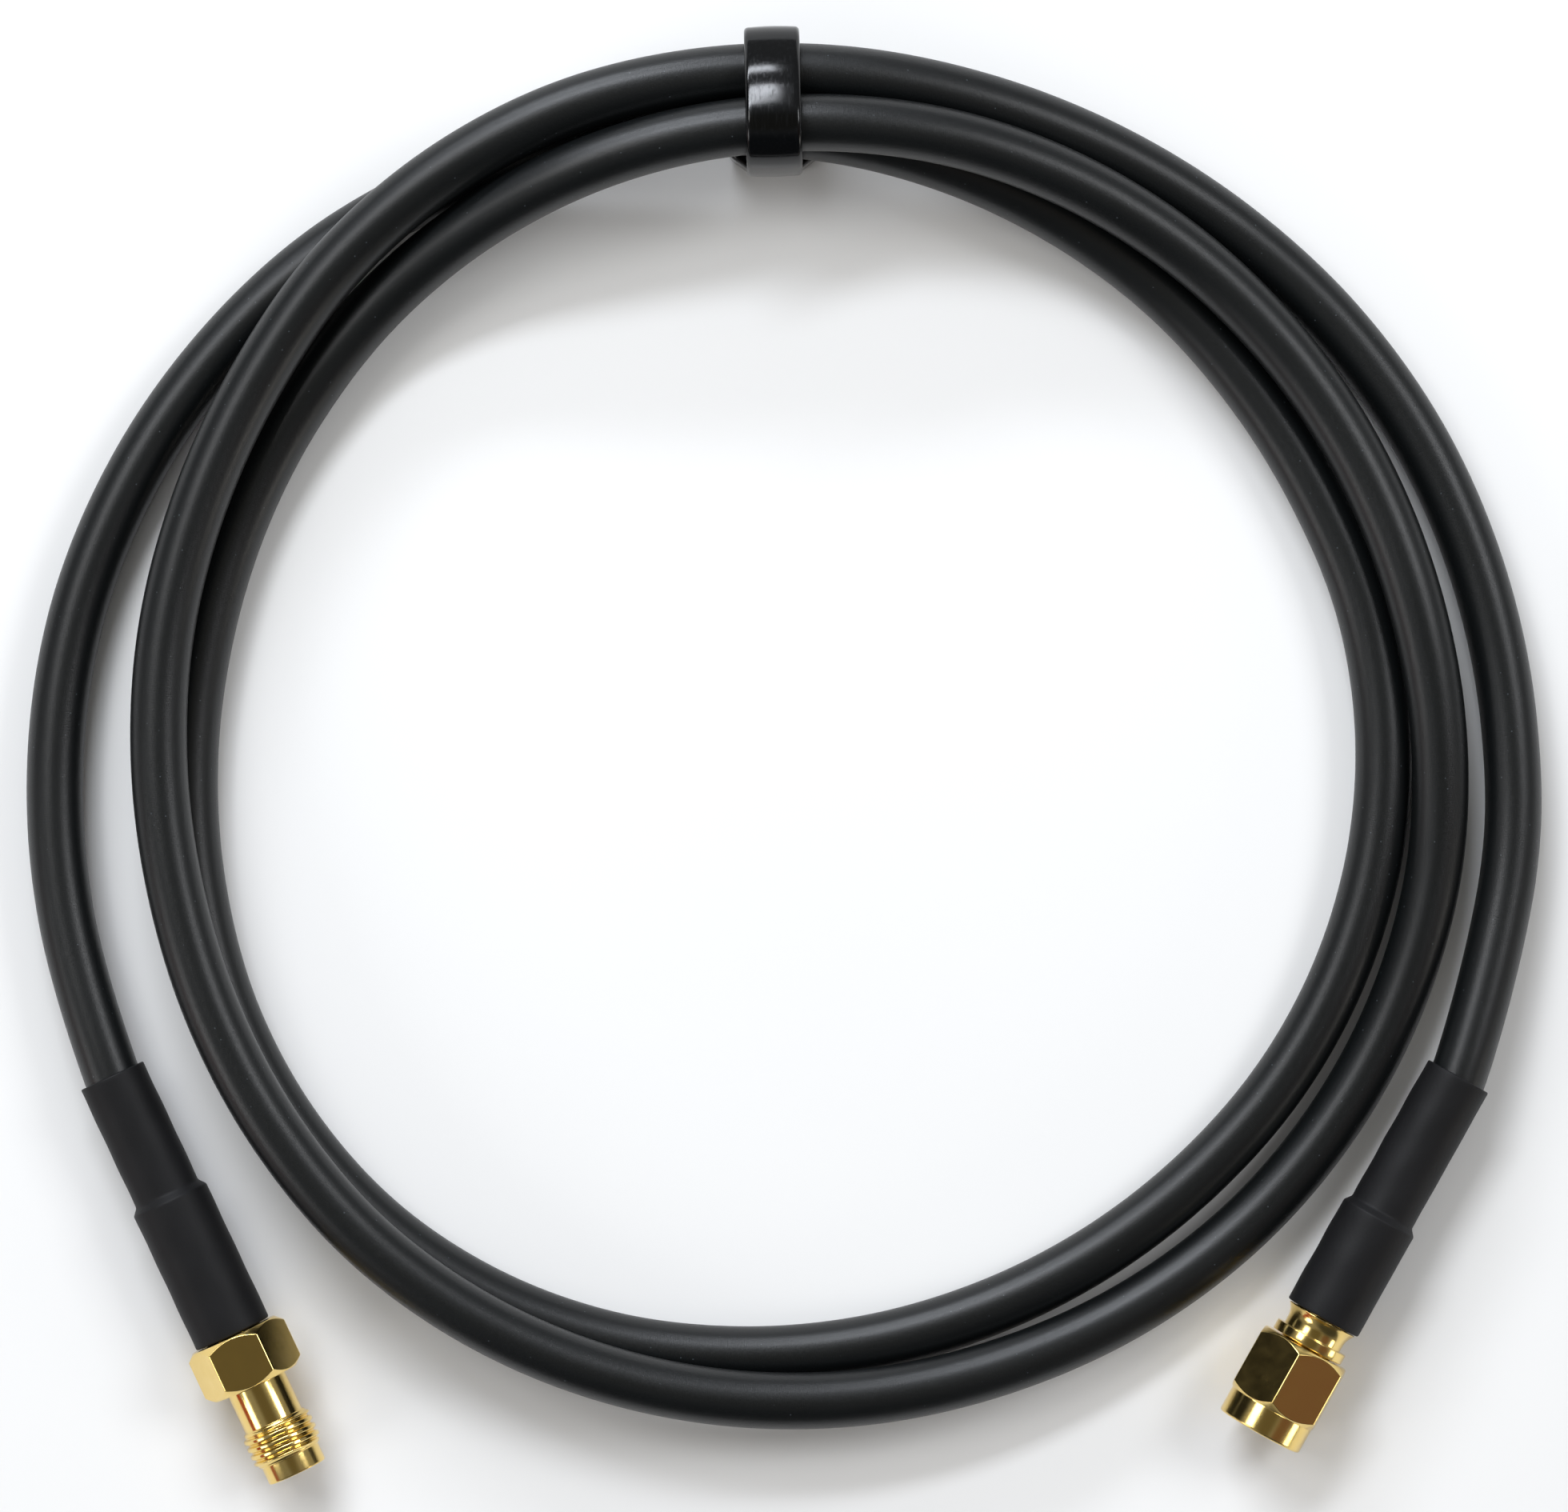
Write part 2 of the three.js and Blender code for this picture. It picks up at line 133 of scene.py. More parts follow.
def filleted(corners: Array, radius: Array | float, kind: Profile, steps: int = 4) -> Array:
    """Rounds each corner of a line with an arc.

    The arc touches both legs at radius times the tangent of half the turn, and is
    drawn about the point where the legs' offsets cross. It is made smaller where a
    leg is too short for it.

    Args:
        corners: Corners by row, of shape (n, ..., 2), so that many lines go at once.
        radius: One radius, or one for each corner.
        kind: An open line keeps its two end points as they are.
        steps: Points along each arc, less one.

    Returns:
        The rounded line, of shape (m, ..., 2).
    """
    leg_in = corners - np.roll(corners, 1, axis=0)
    leg_out = np.roll(corners, -1, axis=0) - corners
    way_in, way_out = unit(leg_in), unit(leg_out)
    shorter = np.minimum(*(np.linalg.norm(g, axis=-1, keepdims=True) for g in (leg_in, leg_out)))
    turn = np.arccos(np.clip(np.sum(way_in * way_out, axis=-1, keepdims=True), -1, 1))
    half = np.maximum(turn / 2, STRAIGHT)
    radii = np.broadcast_to(np.asarray(radius, float), (len(corners),))
    radii = radii.reshape((-1,) + (1,) * (corners.ndim - 1))
    reach = np.minimum(radii * np.tan(half), MOST_OF_LEG * shorter)
    radii = reach / np.tan(half)
    inward, onward = unit(way_out - way_in), unit(way_in + way_out)
    centre = corners + inward * radii / np.cos(half)
    share = np.linspace(-1, 1, steps + 1).reshape((1, -1) + (1,) * (corners.ndim - 1))
    angle = share * half[:, None]
    arcs = centre[:, None] + radii[:, None] * (
        onward[:, None] * np.sin(angle) - inward[:, None] * np.cos(angle)
    )
    if kind is Profile.CLOSED:
        return arcs.reshape((-1,) + corners.shape[1:])
    inner = arcs[1:-1].reshape((-1,) + corners.shape[1:])
    return np.concatenate([corners[:1], inner, corners[-1:]])


def resampled(line: Array, spacing: float) -> Array:
    """Adds a point at every spacing along a closed line, but none close to its own points.

    Args:
        line: Points by row, of shape (n, k), the last joined to the first.
        spacing: Distance along the line between two added points.

    Returns:
        The line with its own points kept and the new ones between them.
    """
    loop = np.vstack([line, line[:1]])
    along = run_lengths(loop)
    extra = np.arange(0.0, along[-1], spacing)
    clear = np.abs(extra[:, None] - along[None, :]).min(axis=1) > NEAR_A_POINT * spacing
    stops = np.sort(np.concatenate([along, extra[clear]]))
    return at_lengths(stops, along, loop)[:-1]


def turned(profile: Array, columns: Array) -> Array:
    """Turns a profile about the Y axis.

    A point at distance r from the axis and y along it goes to (r sin a, y, r cos a)
    for each angle a, which is counted from +Z towards +X.

    Args:
        profile: (r, y) by row, of shape (n, 2), or (n, columns, 2) where r or y
            changes round the axis.
        columns: The angles, in radians.

    Returns:
        A grid of points of shape (n, columns, 3).
    """
    if profile.ndim == 2:
        profile = np.repeat(profile[:, None], len(columns), axis=1)
    r, y = profile[..., 0], profile[..., 1]
    return np.stack([r * np.sin(columns), y, r * np.cos(columns)], axis=-1)


def even_columns(count: int) -> Array:
    """Angles evenly round a circle."""
    return np.arange(count) * TURN / count


def round_corners(pairs: list[tuple[float, float]], columns: Array) -> Array:
    """Repeats the corners (r, y) of a round section at each angle."""
    return np.repeat(np.array(pairs, float)[:, None], len(columns), axis=1)


def add_object(name: str, data: bpy.types.ID) -> bpy.types.Object:
    """Makes an object and puts it in the scene.

    Args:
        name: The object's name.
        data: Its mesh, light or camera.

    Returns:
        The object.
    """
    made = bpy.data.objects.new(name, data)
    bpy.context.scene.collection.objects.link(made)
    return made


def grid_mesh(name: str, local: Array, place: Place, skin: Skin) -> bpy.types.Object:
    """Makes a closed mesh from a grid of points.

    Columns always meet round the grid. The faces are turned over where the volume
    that they enclose comes out below zero, so that they point outwards. Each point's
    place in the grid's own frame is kept as an attribute, in metres, for patterns
    that follow the piece.

    Args:
        name: The object's name.
        local: Points in millimetres, of shape (rows, columns, 3).
        place: Carries points from the grid's frame to the model's, in millimetres.
        skin: How the rows are closed.

    Returns:
        The object, smooth shaded, with its place in its mesh.
    """
    rows, count, _ = local.shape
    j = np.arange(count)
    k = (j + 1) % count
    fans = np.empty((0, 3), int)
    if skin is Skin.RING:
        points, first, bands = local.reshape(-1, 3), 0, rows
    else:
        points = np.concatenate([local[:1, 0], local[1:-1].reshape(-1, 3), local[-1:, 0]])
        first, bands = 1, rows - 3
        last_row, last = first + bands * count, len(points) - 1
        fans = np.concatenate(
            [
                np.stack([np.zeros_like(j), first + k, first + j], axis=-1),
                np.stack([np.full_like(j, last), last_row + j, last_row + k], axis=-1),
            ]
        )
    here = first + np.arange(bands)[:, None] * count
    beyond = (here + count) % len(points)
    quads = np.stack([here + j, here + k, beyond + k, beyond + j], axis=-1).reshape(-1, 4)
    world = place(points)
    triangles = np.concatenate([quads[:, [0, 1, 2]], quads[:, [0, 2, 3]], fans])
    a, b, c = (world[triangles[:, m]] - world.mean(axis=0) for m in range(3))
    if np.sum(a * np.cross(b, c)) < 0:
        quads, fans = quads[:, ::-1], fans[:, ::-1]
    mesh = bpy.data.meshes.new(name)
    mesh.from_pydata((world * MM).tolist(), [], quads.tolist() + fans.tolist())
    mesh.shade_smooth()
    laid_out = mesh.attributes.new(LAID_OUT, "FLOAT_VECTOR", "POINT")
    laid_out.data.foreach_set("vector", (points * MM).astype(np.float32).ravel())
    mesh.update()
    return add_object(name, mesh)


def keep_flats_flat(piece: bpy.types.Object) -> bpy.types.Object:
    """Weights the normals by face area, so that only the rounded edges bend the light."""
    piece.modifiers.new("Weighted normals", "WEIGHTED_NORMAL").weight = FLATS_WEIGHT
    return piece


# Finishes


class NodeKind(Enum):
    """The kinds of node that the finishes and the room are made of."""

    PLACE = "ShaderNodeTexCoord"
    ATTRIBUTE = "ShaderNodeAttribute"
    MAPPING = "ShaderNodeMapping"
    NOISE = "ShaderNodeTexNoise"
    CELLS = "ShaderNodeTexVoronoi"
    RANGE = "ShaderNodeMapRange"
    MIX = "ShaderNodeMix"
    MATH = "ShaderNodeMath"
    VECTOR_MATH = "ShaderNodeVectorMath"
    SPLIT = "ShaderNodeSeparateXYZ"
    JOIN = "ShaderNodeCombineXYZ"
    BUMP = "ShaderNodeBump"


class Pattern(Enum):
    """Which coordinates a finish's pattern lies on."""

    PIECE = "the piece's own, kept when its mesh was made"
    OBJECT = "the object's, for a packed solid and for the floor"


def srgb(code: str) -> Colour:
    """Turns an sRGB colour such as #8090A0 into a linear one.

    Args:
        code: The colour's red, green and blue as hex digits after a #.

    Returns:
        Red, green, blue and an alpha of one.
    """
    parts = [int(code[i : i + 2], 16) / 255 for i in (1, 3, 5)]
    r, g, b = (p / 12.92 if p <= 0.04045 else ((p + 0.055) / 1.055) ** 2.4 for p in parts)
    return r, g, b, 1.0


def feed(node: bpy.types.Node, feeds: dict[str | int, Any]) -> None:
    """Sets inputs of a node, by name or number, to a value or to another node's output.

    Args:
        node: The node.
        feeds: What each input gets, by the input's name or number.
    """
    for key, value in feeds.items():
        if isinstance(value, bpy.types.NodeSocket):
            node.id_data.links.new(value, node.inputs[key])
        else:
            node.inputs[key].default_value = value


def add_node(
    tree: bpy.types.NodeTree, kind: NodeKind, feeds: dict[str | int, Any], **settings: Any
) -> bpy.types.Node:
    """Adds a node, sets it and links what feeds it.

    Args:
        tree: The node tree.
        kind: The node's kind.
        feeds: A value or another node's output for each input, by name or number.
        settings: The node's own settings.

    Returns:
        The node.
    """
    node = tree.nodes.new(kind.value)
    for key, value in settings.items():
        setattr(node, key, value)
    feed(node, feeds)
    return node


def blank_material(
    name: str, pattern: Pattern = Pattern.PIECE
) -> tuple[bpy.types.Material, bpy.types.NodeTree, bpy.types.Node, bpy.types.NodeSocket]:
    """Makes a material to build on.

    Args:
        name: The material's name.
        pattern: Which coordinates its pattern lies on.

    Returns:
        The material, its node tree, its principled shader and its coordinates.
    """
    material = bpy.data.materials.new(name)
    material.use_nodes = True
    tree = material.node_tree
    if pattern is Pattern.PIECE:
        laid = add_node(tree, NodeKind.ATTRIBUTE, {}, attribute_name=LAID_OUT).outputs["Vector"]
    else:
        laid = add_node(tree, NodeKind.PLACE, {}).outputs["Object"]
    return material, tree, tree.nodes["Principled BSDF"], laid


def lathe_marks(
    tree: bpy.types.NodeTree, laid: bpy.types.NodeSocket, pitch: float
) -> bpy.types.NodeSocket:
    """Noise on (distance from the Y axis, distance along it), as a lathe's tool leaves it.

    Args:
        tree: The material's node tree.
        laid: The piece's own coordinates.
        pitch: Distance between two marks, in millimetres.

    Returns:
        The marks, from 0 to 1.
    """
    parts = add_node(tree, NodeKind.SPLIT, {0: laid})
    across = add_node(tree, NodeKind.JOIN, {0: parts.outputs[0], 2: parts.outputs[2]})
    radius = add_node(tree, NodeKind.VECTOR_MATH, {0: across.outputs[0]}, operation="LENGTH")
    path = add_node(tree, NodeKind.JOIN, {0: radius.outputs["Value"], 1: parts.outputs[1]})
    feeds = {"Vector": path.outputs[0], "Scale": 1 / (pitch * MM), "Detail": 1.0}
    return add_node(tree, NodeKind.NOISE, feeds).outputs["Fac"]


@dataclass(frozen=True)
class ExtrudedPvc:
    """Extruded PVC of a cable jacket.

    To the eye it is a satin near-black. Fine ripples across the cable spread its
    highlights, and there are faint lines from the die, a slight cloudiness and a
    little dust.
    """

    colour: str = "#07090A"
    bloom: str = "#0C0F10"
    dust: str = "#4C5358"
    roughness: float = 0.37
    smoother: float = 0.07
    rougher: float = 0.09
    specular: float = 0.4
    ior: float = 1.53
    ripple_pitch: float = 0.05
    ripple_height: float = 0.008
    line_width: float = 0.5
    line_share: float = 0.6
    grain_size: float = 0.16
    grain_height: float = 0.02
    grain_strength: float = 0.25
    cloud_size: float = 7.0
    dust_spacing: float = 1.1
    speck_core: float = 0.03
    speck_edge: float = 0.07
    speck_cover: float = 0.7

    def material(self) -> bpy.types.Material:
        """Builds the material on the cable's own straightened coordinates.

        Returns:
            The material.
        """
        material, tree, shader, laid = blank_material("extruded_pvc")
        along, across = (
            add_node(tree, NodeKind.MAPPING, {"Vector": laid, "Scale": scale}).outputs[0]
            for scale in ((1, 0.02, 1), (0.1, 1, 0.1))
        )
        lines, grain, clouds, ripples = (
            add_node(
                tree,
                NodeKind.NOISE,
                {"Vector": where, "Scale": 1 / (size * MM), "Detail": detail, "Roughness": rough},
            ).outputs["Fac"]
            for where, size, detail, rough in (
                (along, self.line_width, 2.0, 0.5),
                (laid, self.grain_size, 3.0, 0.5),
                (laid, self.cloud_size, 5.0, 0.6),
                (across, self.ripple_pitch, 1.0, 0.5),
            )
        )
        scale = 1 / (self.dust_spacing * MM)
        cells = add_node(
            tree, NodeKind.CELLS, {"Vector": laid, "Scale": scale, "Randomness": 1.0}
        )
        near = {0: cells.outputs["Distance"], 1: self.speck_core, 2: self.speck_edge}
        specks = add_node(tree, NodeKind.RANGE, {**near, 3: self.speck_cover, 4: 0.0}).outputs[0]
        base: Any = srgb(self.colour)
        for share, colour in ((clouds, self.bloom), (specks, self.dust)):
            feeds = {0: share, 6: base, 7: srgb(colour)}
            base = add_node(tree, NodeKind.MIX, feeds, data_type="RGBA").outputs[2]
        low, high = self.roughness - self.smoother, self.roughness + self.rougher
        gloss = add_node(tree, NodeKind.RANGE, {0: grain, 3: low, 4: high})
        mixed = {0: lines, 1: self.line_share, 2: grain}
        relief = add_node(tree, NodeKind.MATH, mixed, operation="MULTIPLY_ADD")
        rippled = add_node(
            tree,
            NodeKind.BUMP,
            {"Height": ripples, "Strength": 1.0, "Distance": self.ripple_height * MM},
        )
        bump = add_node(
            tree,
            NodeKind.BUMP,
            {
                "Height": relief.outputs[0],
                "Normal": rippled.outputs[0],
                "Strength": self.grain_strength,
                "Distance": self.grain_height * MM,
            },
        )
        feed(shader, {"Base Color": base, "Roughness": gloss.outputs[0]})
        feed(shader, {"Normal": bump.outputs[0], "IOR": self.ior})
        feed(shader, {"Specular IOR Level": self.specular})
        return material


@dataclass(frozen=True)
class ShrunkPolyolefin:
    """Polyolefin sleeve shrunk with hot air.

    To the eye it is darker and duller than the jacket, with a fine orange-peel skin
    and soft ripples where it was heated unevenly.
    """

    colour: str = "#0C0C0D"
    bloom: str = "#141416"
    roughness: float = 0.55
    smoother: float = 0.08
    rougher: float = 0.1
    specular: float = 0.24
    ior: float = 1.49
    peel_size: float = 0.22
    peel_height: float = 0.02
    peel_strength: float = 0.5
    ripple_size: float = 2.4
    ripple_height: float = 0.12
    ripple_strength: float = 0.35

    def material(self) -> bpy.types.Material:
        """Builds the material on the sleeve's own coordinates.

        Returns:
            The material.
        """
        material, tree, shader, laid = blank_material("shrunk_polyolefin")
        drawn = add_node(tree, NodeKind.MAPPING, {"Vector": laid, "Scale": (1, 0.35, 1)})
        peel, ripple = (
            add_node(
                tree, NodeKind.NOISE, {"Vector": where, "Scale": 1 / (size * MM), "Detail": detail}
            ).outputs["Fac"]
            for where, size, detail in (
                (laid, self.peel_size, 2.0),
                (drawn.outputs[0], self.ripple_size, 4.0),
            )
        )
        colours = {0: ripple, 6: srgb(self.colour), 7: srgb(self.bloom)}
        base = add_node(tree, NodeKind.MIX, colours, data_type="RGBA")
        low, high = self.roughness - self.smoother, self.roughness + self.rougher
        gloss = add_node(tree, NodeKind.RANGE, {0: ripple, 3: low, 4: high})
        fine = add_node(
            tree,
            NodeKind.BUMP,
            {"Height": peel, "Strength": self.peel_strength, "Distance": self.peel_height * MM},
        )
        bump = add_node(
            tree,
            NodeKind.BUMP,
            {
                "Height": ripple,
                "Normal": fine.outputs[0],
                "Strength": self.ripple_strength,
                "Distance": self.ripple_height * MM,
            },
        )
        feed(shader, {"Base Color": base.outputs[2], "Roughness": gloss.outputs[0]})
        feed(shader, {"Normal": bump.outputs[0], "IOR": self.ior})
        feed(shader, {"Specular IOR Level": self.specular})
        return material


@dataclass(frozen=True)
class MouldedNylon:
    """Moulded nylon of a cable tie.

    To the eye it is a deep glossy black that mirrors the windows, with a slightly
    uneven skin and fine scuffs.
    """

    colour: str = "#050607"
    scuff: str = "#0C0D0F"
    roughness: float = 0.13
    rougher: float = 0.12
    specular: float = 0.32
    ior: float = 1.53
    skin_size: float = 1.3
    skin_height: float = 0.05
    skin_strength: float = 0.06
    scuff_width: float = 0.18

    def material(self) -> bpy.types.Material:
        """Builds the material on the tie's own coordinates.

        Returns:
            The material.
        """
        material, tree, shader, laid = blank_material("moulded_nylon")
        drawn = add_node(tree, NodeKind.MAPPING, {"Vector": laid, "Scale": (1, 0.06, 1)})
        skin, scuffs = (
            add_node(
                tree, NodeKind.NOISE, {"Vector": where, "Scale": 1 / (size * MM), "Detail": 3.0}
            ).outputs["Fac"]
            for where, size in ((laid, self.skin_size), (drawn.outputs[0], self.scuff_width))
        )
        low, high = self.roughness, self.roughness + self.rougher
        mask, gloss = (
            add_node(tree, NodeKind.RANGE, {0: scuffs, 1: start, 2: 0.8, 3: least, 4: most})
            for start, least, most in ((0.56, 0.0, 1.0), (0.5, low, high))
        )
        colours = {0: mask.outputs[0], 6: srgb(self.colour), 7: srgb(self.scuff)}
        base = add_node(tree, NodeKind.MIX, colours, data_type="RGBA")
        bump = add_node(
            tree,
            NodeKind.BUMP,
            {"Height": skin, "Strength": self.skin_strength, "Distance": self.skin_height * MM},
        )
        feed(shader, {"Base Color": base.outputs[2], "Roughness": gloss.outputs[0]})
        feed(shader, {"Normal": bump.outputs[0], "IOR": self.ior})
        feed(shader, {"Specular IOR Level": self.specular})
        return material


@dataclass(frozen=True)
class GoldPlatedBrass:
    """Gold plating on turned brass.

    To the eye it is a bright deep yellow mirror, streaked finely round the axis by
    the lathe, and a little cloudy and darker where it was handled.
    """

    colour: str = "#F4D88F"
    shade: str = "#E8C874"
    roughness: float = 0.13
    smoother: float = 0.05
    rougher: float = 0.1
    lathe_pitch: float = 0.06
    lathe_height: float = 0.01
    lathe_strength: float = 0.12
    cloud_size: float = 1.4
    cloud_height: float = 0.04
    cloud_strength: float = 0.15

    def material(self) -> bpy.types.Material:
        """Builds the material on each turned piece's own coordinates.

        Returns:
            The material.
        """
        material, tree, shader, laid = blank_material("gold_plated_brass")
        lathe = lathe_marks(tree, laid, self.lathe_pitch)
        feeds = {"Vector": laid, "Scale": 1 / (self.cloud_size * MM), "Detail": 4.0}
        clouds = add_node(tree, NodeKind.NOISE, feeds).outputs["Fac"]
        colours = {0: clouds, 6: srgb(self.colour), 7: srgb(self.shade)}
        base = add_node(tree, NodeKind.MIX, colours, data_type="RGBA")
        low, high = self.roughness - self.smoother, self.roughness + self.rougher
        gloss = add_node(tree, NodeKind.RANGE, {0: clouds, 3: low, 4: high})
        fine = add_node(
            tree,
            NodeKind.BUMP,
            {"Height": lathe, "Strength": self.lathe_strength, "Distance": self.lathe_height * MM},
        )
        bump = add_node(
            tree,
            NodeKind.BUMP,
            {
                "Height": clouds,
                "Normal": fine.outputs[0],
                "Strength": self.cloud_strength,
                "Distance": self.cloud_height * MM,
            },
        )
        feed(shader, {"Base Color": base.outputs[2], "Roughness": gloss.outputs[0]})
        feed(shader, {"Normal": bump.outputs[0], "Metallic": 1.0})
        return material


@dataclass(frozen=True)
class TurnedPtfe:
    """Turned PTFE insulator.

    To the eye it is a waxy white with faint rings from the lathe.
    """

    colour: str = "#EFEDE6"
    shade: str = "#DEDACF"
    roughness: float = 0.42
    ior: float = 1.38
    ring_pitch: float = 0.12
    ring_height: float = 0.02
    ring_strength: float = 0.3

    def material(self) -> bpy.types.Material:
        """Builds the material on the insulator's own coordinates.

        Returns:
            The material.
        """
        material, tree, shader, laid = blank_material("turned_ptfe")
        rings = lathe_marks(tree, laid, self.ring_pitch)
        colours = {0: rings, 6: srgb(self.colour), 7: srgb(self.shade)}
        base = add_node(tree, NodeKind.MIX, colours, data_type="RGBA")
        bump = add_node(
            tree,
            NodeKind.BUMP,
            {"Height": rings, "Strength": self.ring_strength, "Distance": self.ring_height * MM},
        )
        feed(shader, {"Base Color": base.outputs[2], "Normal": bump.outputs[0]})
        feed(shader, {"Roughness": self.roughness, "IOR": self.ior})
        return material


@dataclass(frozen=True)
class PlatedFerrule:
    """Nickel plating on a drawn crimp ferrule.

    To the eye it is a grey satin metal with soft drawing marks.
    """

    colour: str = "#C9C6BD"
    shade: str = "#A9A59B"
    roughness: float = 0.28
    mark_size: float = 0.4

    def material(self) -> bpy.types.Material:
        """Builds the material on object coordinates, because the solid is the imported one.

        Returns:
            The material.
        """
        material, tree, shader, laid = blank_material("plated_ferrule", Pattern.OBJECT)
        feeds = {"Vector": laid, "Scale": 1 / (self.mark_size * MM), "Detail": 3.0}
        marks = add_node(tree, NodeKind.NOISE, feeds).outputs["Fac"]
        colours = {0: marks, 6: srgb(self.colour), 7: srgb(self.shade)}
        base = add_node(tree, NodeKind.MIX, colours, data_type="RGBA")
        feed(shader, {"Base Color": base.outputs[2], "Metallic": 1.0})
        feed(shader, {"Roughness": self.roughness})
        return material


@dataclass(frozen=True)
class PaleFloor:
    """Matt coated board of the floor.

    To the eye it is an even off-white.
    """

    colour: str = "#EBEBEA"
    shade: str = "#E6E6E5"
    roughness: float = 0.7
    specular: float = 0.2
    cloud_size: float = 90.0

    def material(self) -> bpy.types.Material:
        """Builds the material on object coordinates.

        Returns:
            The material.
        """
        material, tree, shader, laid = blank_material("pale_floor", Pattern.OBJECT)
        feeds = {"Vector": laid, "Scale": 1 / (self.cloud_size * MM), "Detail": 2.0}
        clouds = add_node(tree, NodeKind.NOISE, feeds).outputs["Fac"]
        colours = {0: clouds, 6: srgb(self.colour), 7: srgb(self.shade)}
        base = add_node(tree, NodeKind.MIX, colours, data_type="RGBA")
        feed(shader, {"Base Color": base.outputs[2], "Roughness": self.roughness})
        feed(shader, {"Specular IOR Level": self.specular})
        return material


@dataclass
class Finishes:
    """The materials of the whole assembly, made once each, and how a piece is given one."""

    jacket: bpy.types.Material = field(default_factory=lambda: ExtrudedPvc().material())
    shrink: bpy.types.Material = field(default_factory=lambda: ShrunkPolyolefin().material())
    nylon: bpy.types.Material = field(default_factory=lambda: MouldedNylon().material())
    gold: bpy.types.Material = field(default_factory=lambda: GoldPlatedBrass().material())
    insulator: bpy.types.Material = field(default_factory=lambda: TurnedPtfe().material())
    crimp: bpy.types.Material = field(default_factory=lambda: PlatedFerrule().material())

    def dress(
        self, piece: bpy.types.Object, slot: str, node: str, body: str = ASSEMBLY
    ) -> bpy.types.Object:
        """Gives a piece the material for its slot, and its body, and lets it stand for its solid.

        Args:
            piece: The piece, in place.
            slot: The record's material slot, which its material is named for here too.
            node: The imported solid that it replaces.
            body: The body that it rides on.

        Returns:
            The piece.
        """
        piece.data.materials.append(getattr(self, slot))
        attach(piece, body)
        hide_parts(node)
        log.info("%s: %d faces on %s", piece.name, len(piece.data.polygons), body)
        return piece

    def dress_ferrules(self) -> None:
        """Gives the two packed ferrules, which stay, their plating."""
        for node in ("jack_ferrule", "plug_ferrule"):
            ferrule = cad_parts[node]
            ferrule.data.materials.clear()
            ferrule.data.materials.append(self.crimp)


# The cable's route

# Clock in degrees from +Y, lane and level in pitches of the turns
# fmt: off
ROUTE_STATIONS = (
    (240, 2.94, 0.3), (260, 2.7, 0.1), (280, 2.43, 0), (300, 1.99, 0), (320, 1.52, 0),
    (340, 0.87, 0), (360, 0.5, 0), (380, 0.24, 0), (400, 0.1, 0), (420, 0.03, 0),
    (440, 0.19, 0), (460, 0.26, 0), (480, 0.26, 0), (500, 0.22, 0), (520, 0.29, 0),
    (540, 0.48, 0), (560, 0.73, 0), (580, 0.85, 0), (600, 0.7, 0), (620, 0.41, 0),
    (640, 0.21, 0), (660, 0.21, 0.05), (680, 0.33, 0.4), (700, 0.4, 0.93), (720, 0.51, 1),
    (740, 0.69, 0.9), (760, 0.81, 0.72), (780, 0.88, 0.6), (800, 1.02, 0.56),
    (820, 1.27, 0.24), (840, 1.37, 0.02), (860, 1.38, 0.05), (880, 1.28, 0.38),
    (900, 1.23, 0.7), (920, 1.18, 0.92), (940, 1.11, 0.95), (960, 0.89, 0.97),
    (980, 0.75, 0.93), (1000, 0.8, 0.9), (1020, 0.94, 0.95), (1040, 1.27, 1.03),
    (1060, 1.43, 0.87), (1080, 1.42, 0.5), (1100, 1.46, 0.28), (1120, 1.68, 0.05),
    (1140, 1.98, 0), (1160, 2.25, 0), (1180, 2.54, 0.1), (1200, 2.76, 0.4),
)
# fmt: on


@dataclass(frozen=True)
class ConnectorFrame:
    """A connector's own frame: +Y runs along it from the sleeve's cable end, +Z is up."""

    origin: tuple[float, float, float]
    heading: tuple[float, float]

    def place(self, points: Array) -> Array:
        """Carries points from this frame to the model's, in millimetres.

        Args:
            points: Points in this frame, one row each.

        Returns:
            The same points in the model's frame.
        """
        x, y = self.heading
        axes = np.array([[y, -x, 0], [x, y, 0], [0, 0, 1]])
        return points @ axes + np.array(self.origin)

    def turn_piece(
        self,
        name: str,
        corners: list[tuple[float, float]],
        rounding: float,
        skin: Skin,
        sides: int,
        steps: int = 4,
    ) -> bpy.types.Object:
        """Turns a piece about this frame's axis.

        Args:
            name: The piece's name.
            corners: The corners (r, y) of its profile, closed for a ring.
            rounding: The radius of its corners.
            skin: Whether it is a ring, or a rod that starts and ends on the axis.
            sides: How many columns go round it.
            steps: Points along each rounding, less one.

        Returns:
            The piece, in place.
        """
        kind = Profile.CLOSED if skin is Skin.RING else Profile.OPEN
        profile = filleted(np.array(corners, float), rounding, kind, steps)
        return grid_mesh(name, turned(profile, even_columns(sides)), self.place, skin)


JACK_FRAME = ConnectorFrame((-58.6027, -27.6496, 4.0), (0.42439, -0.90548))
PLUG_FRAME = ConnectorFrame((59.027, -27.6843, 4.6188), (-0.48977, -0.87185))


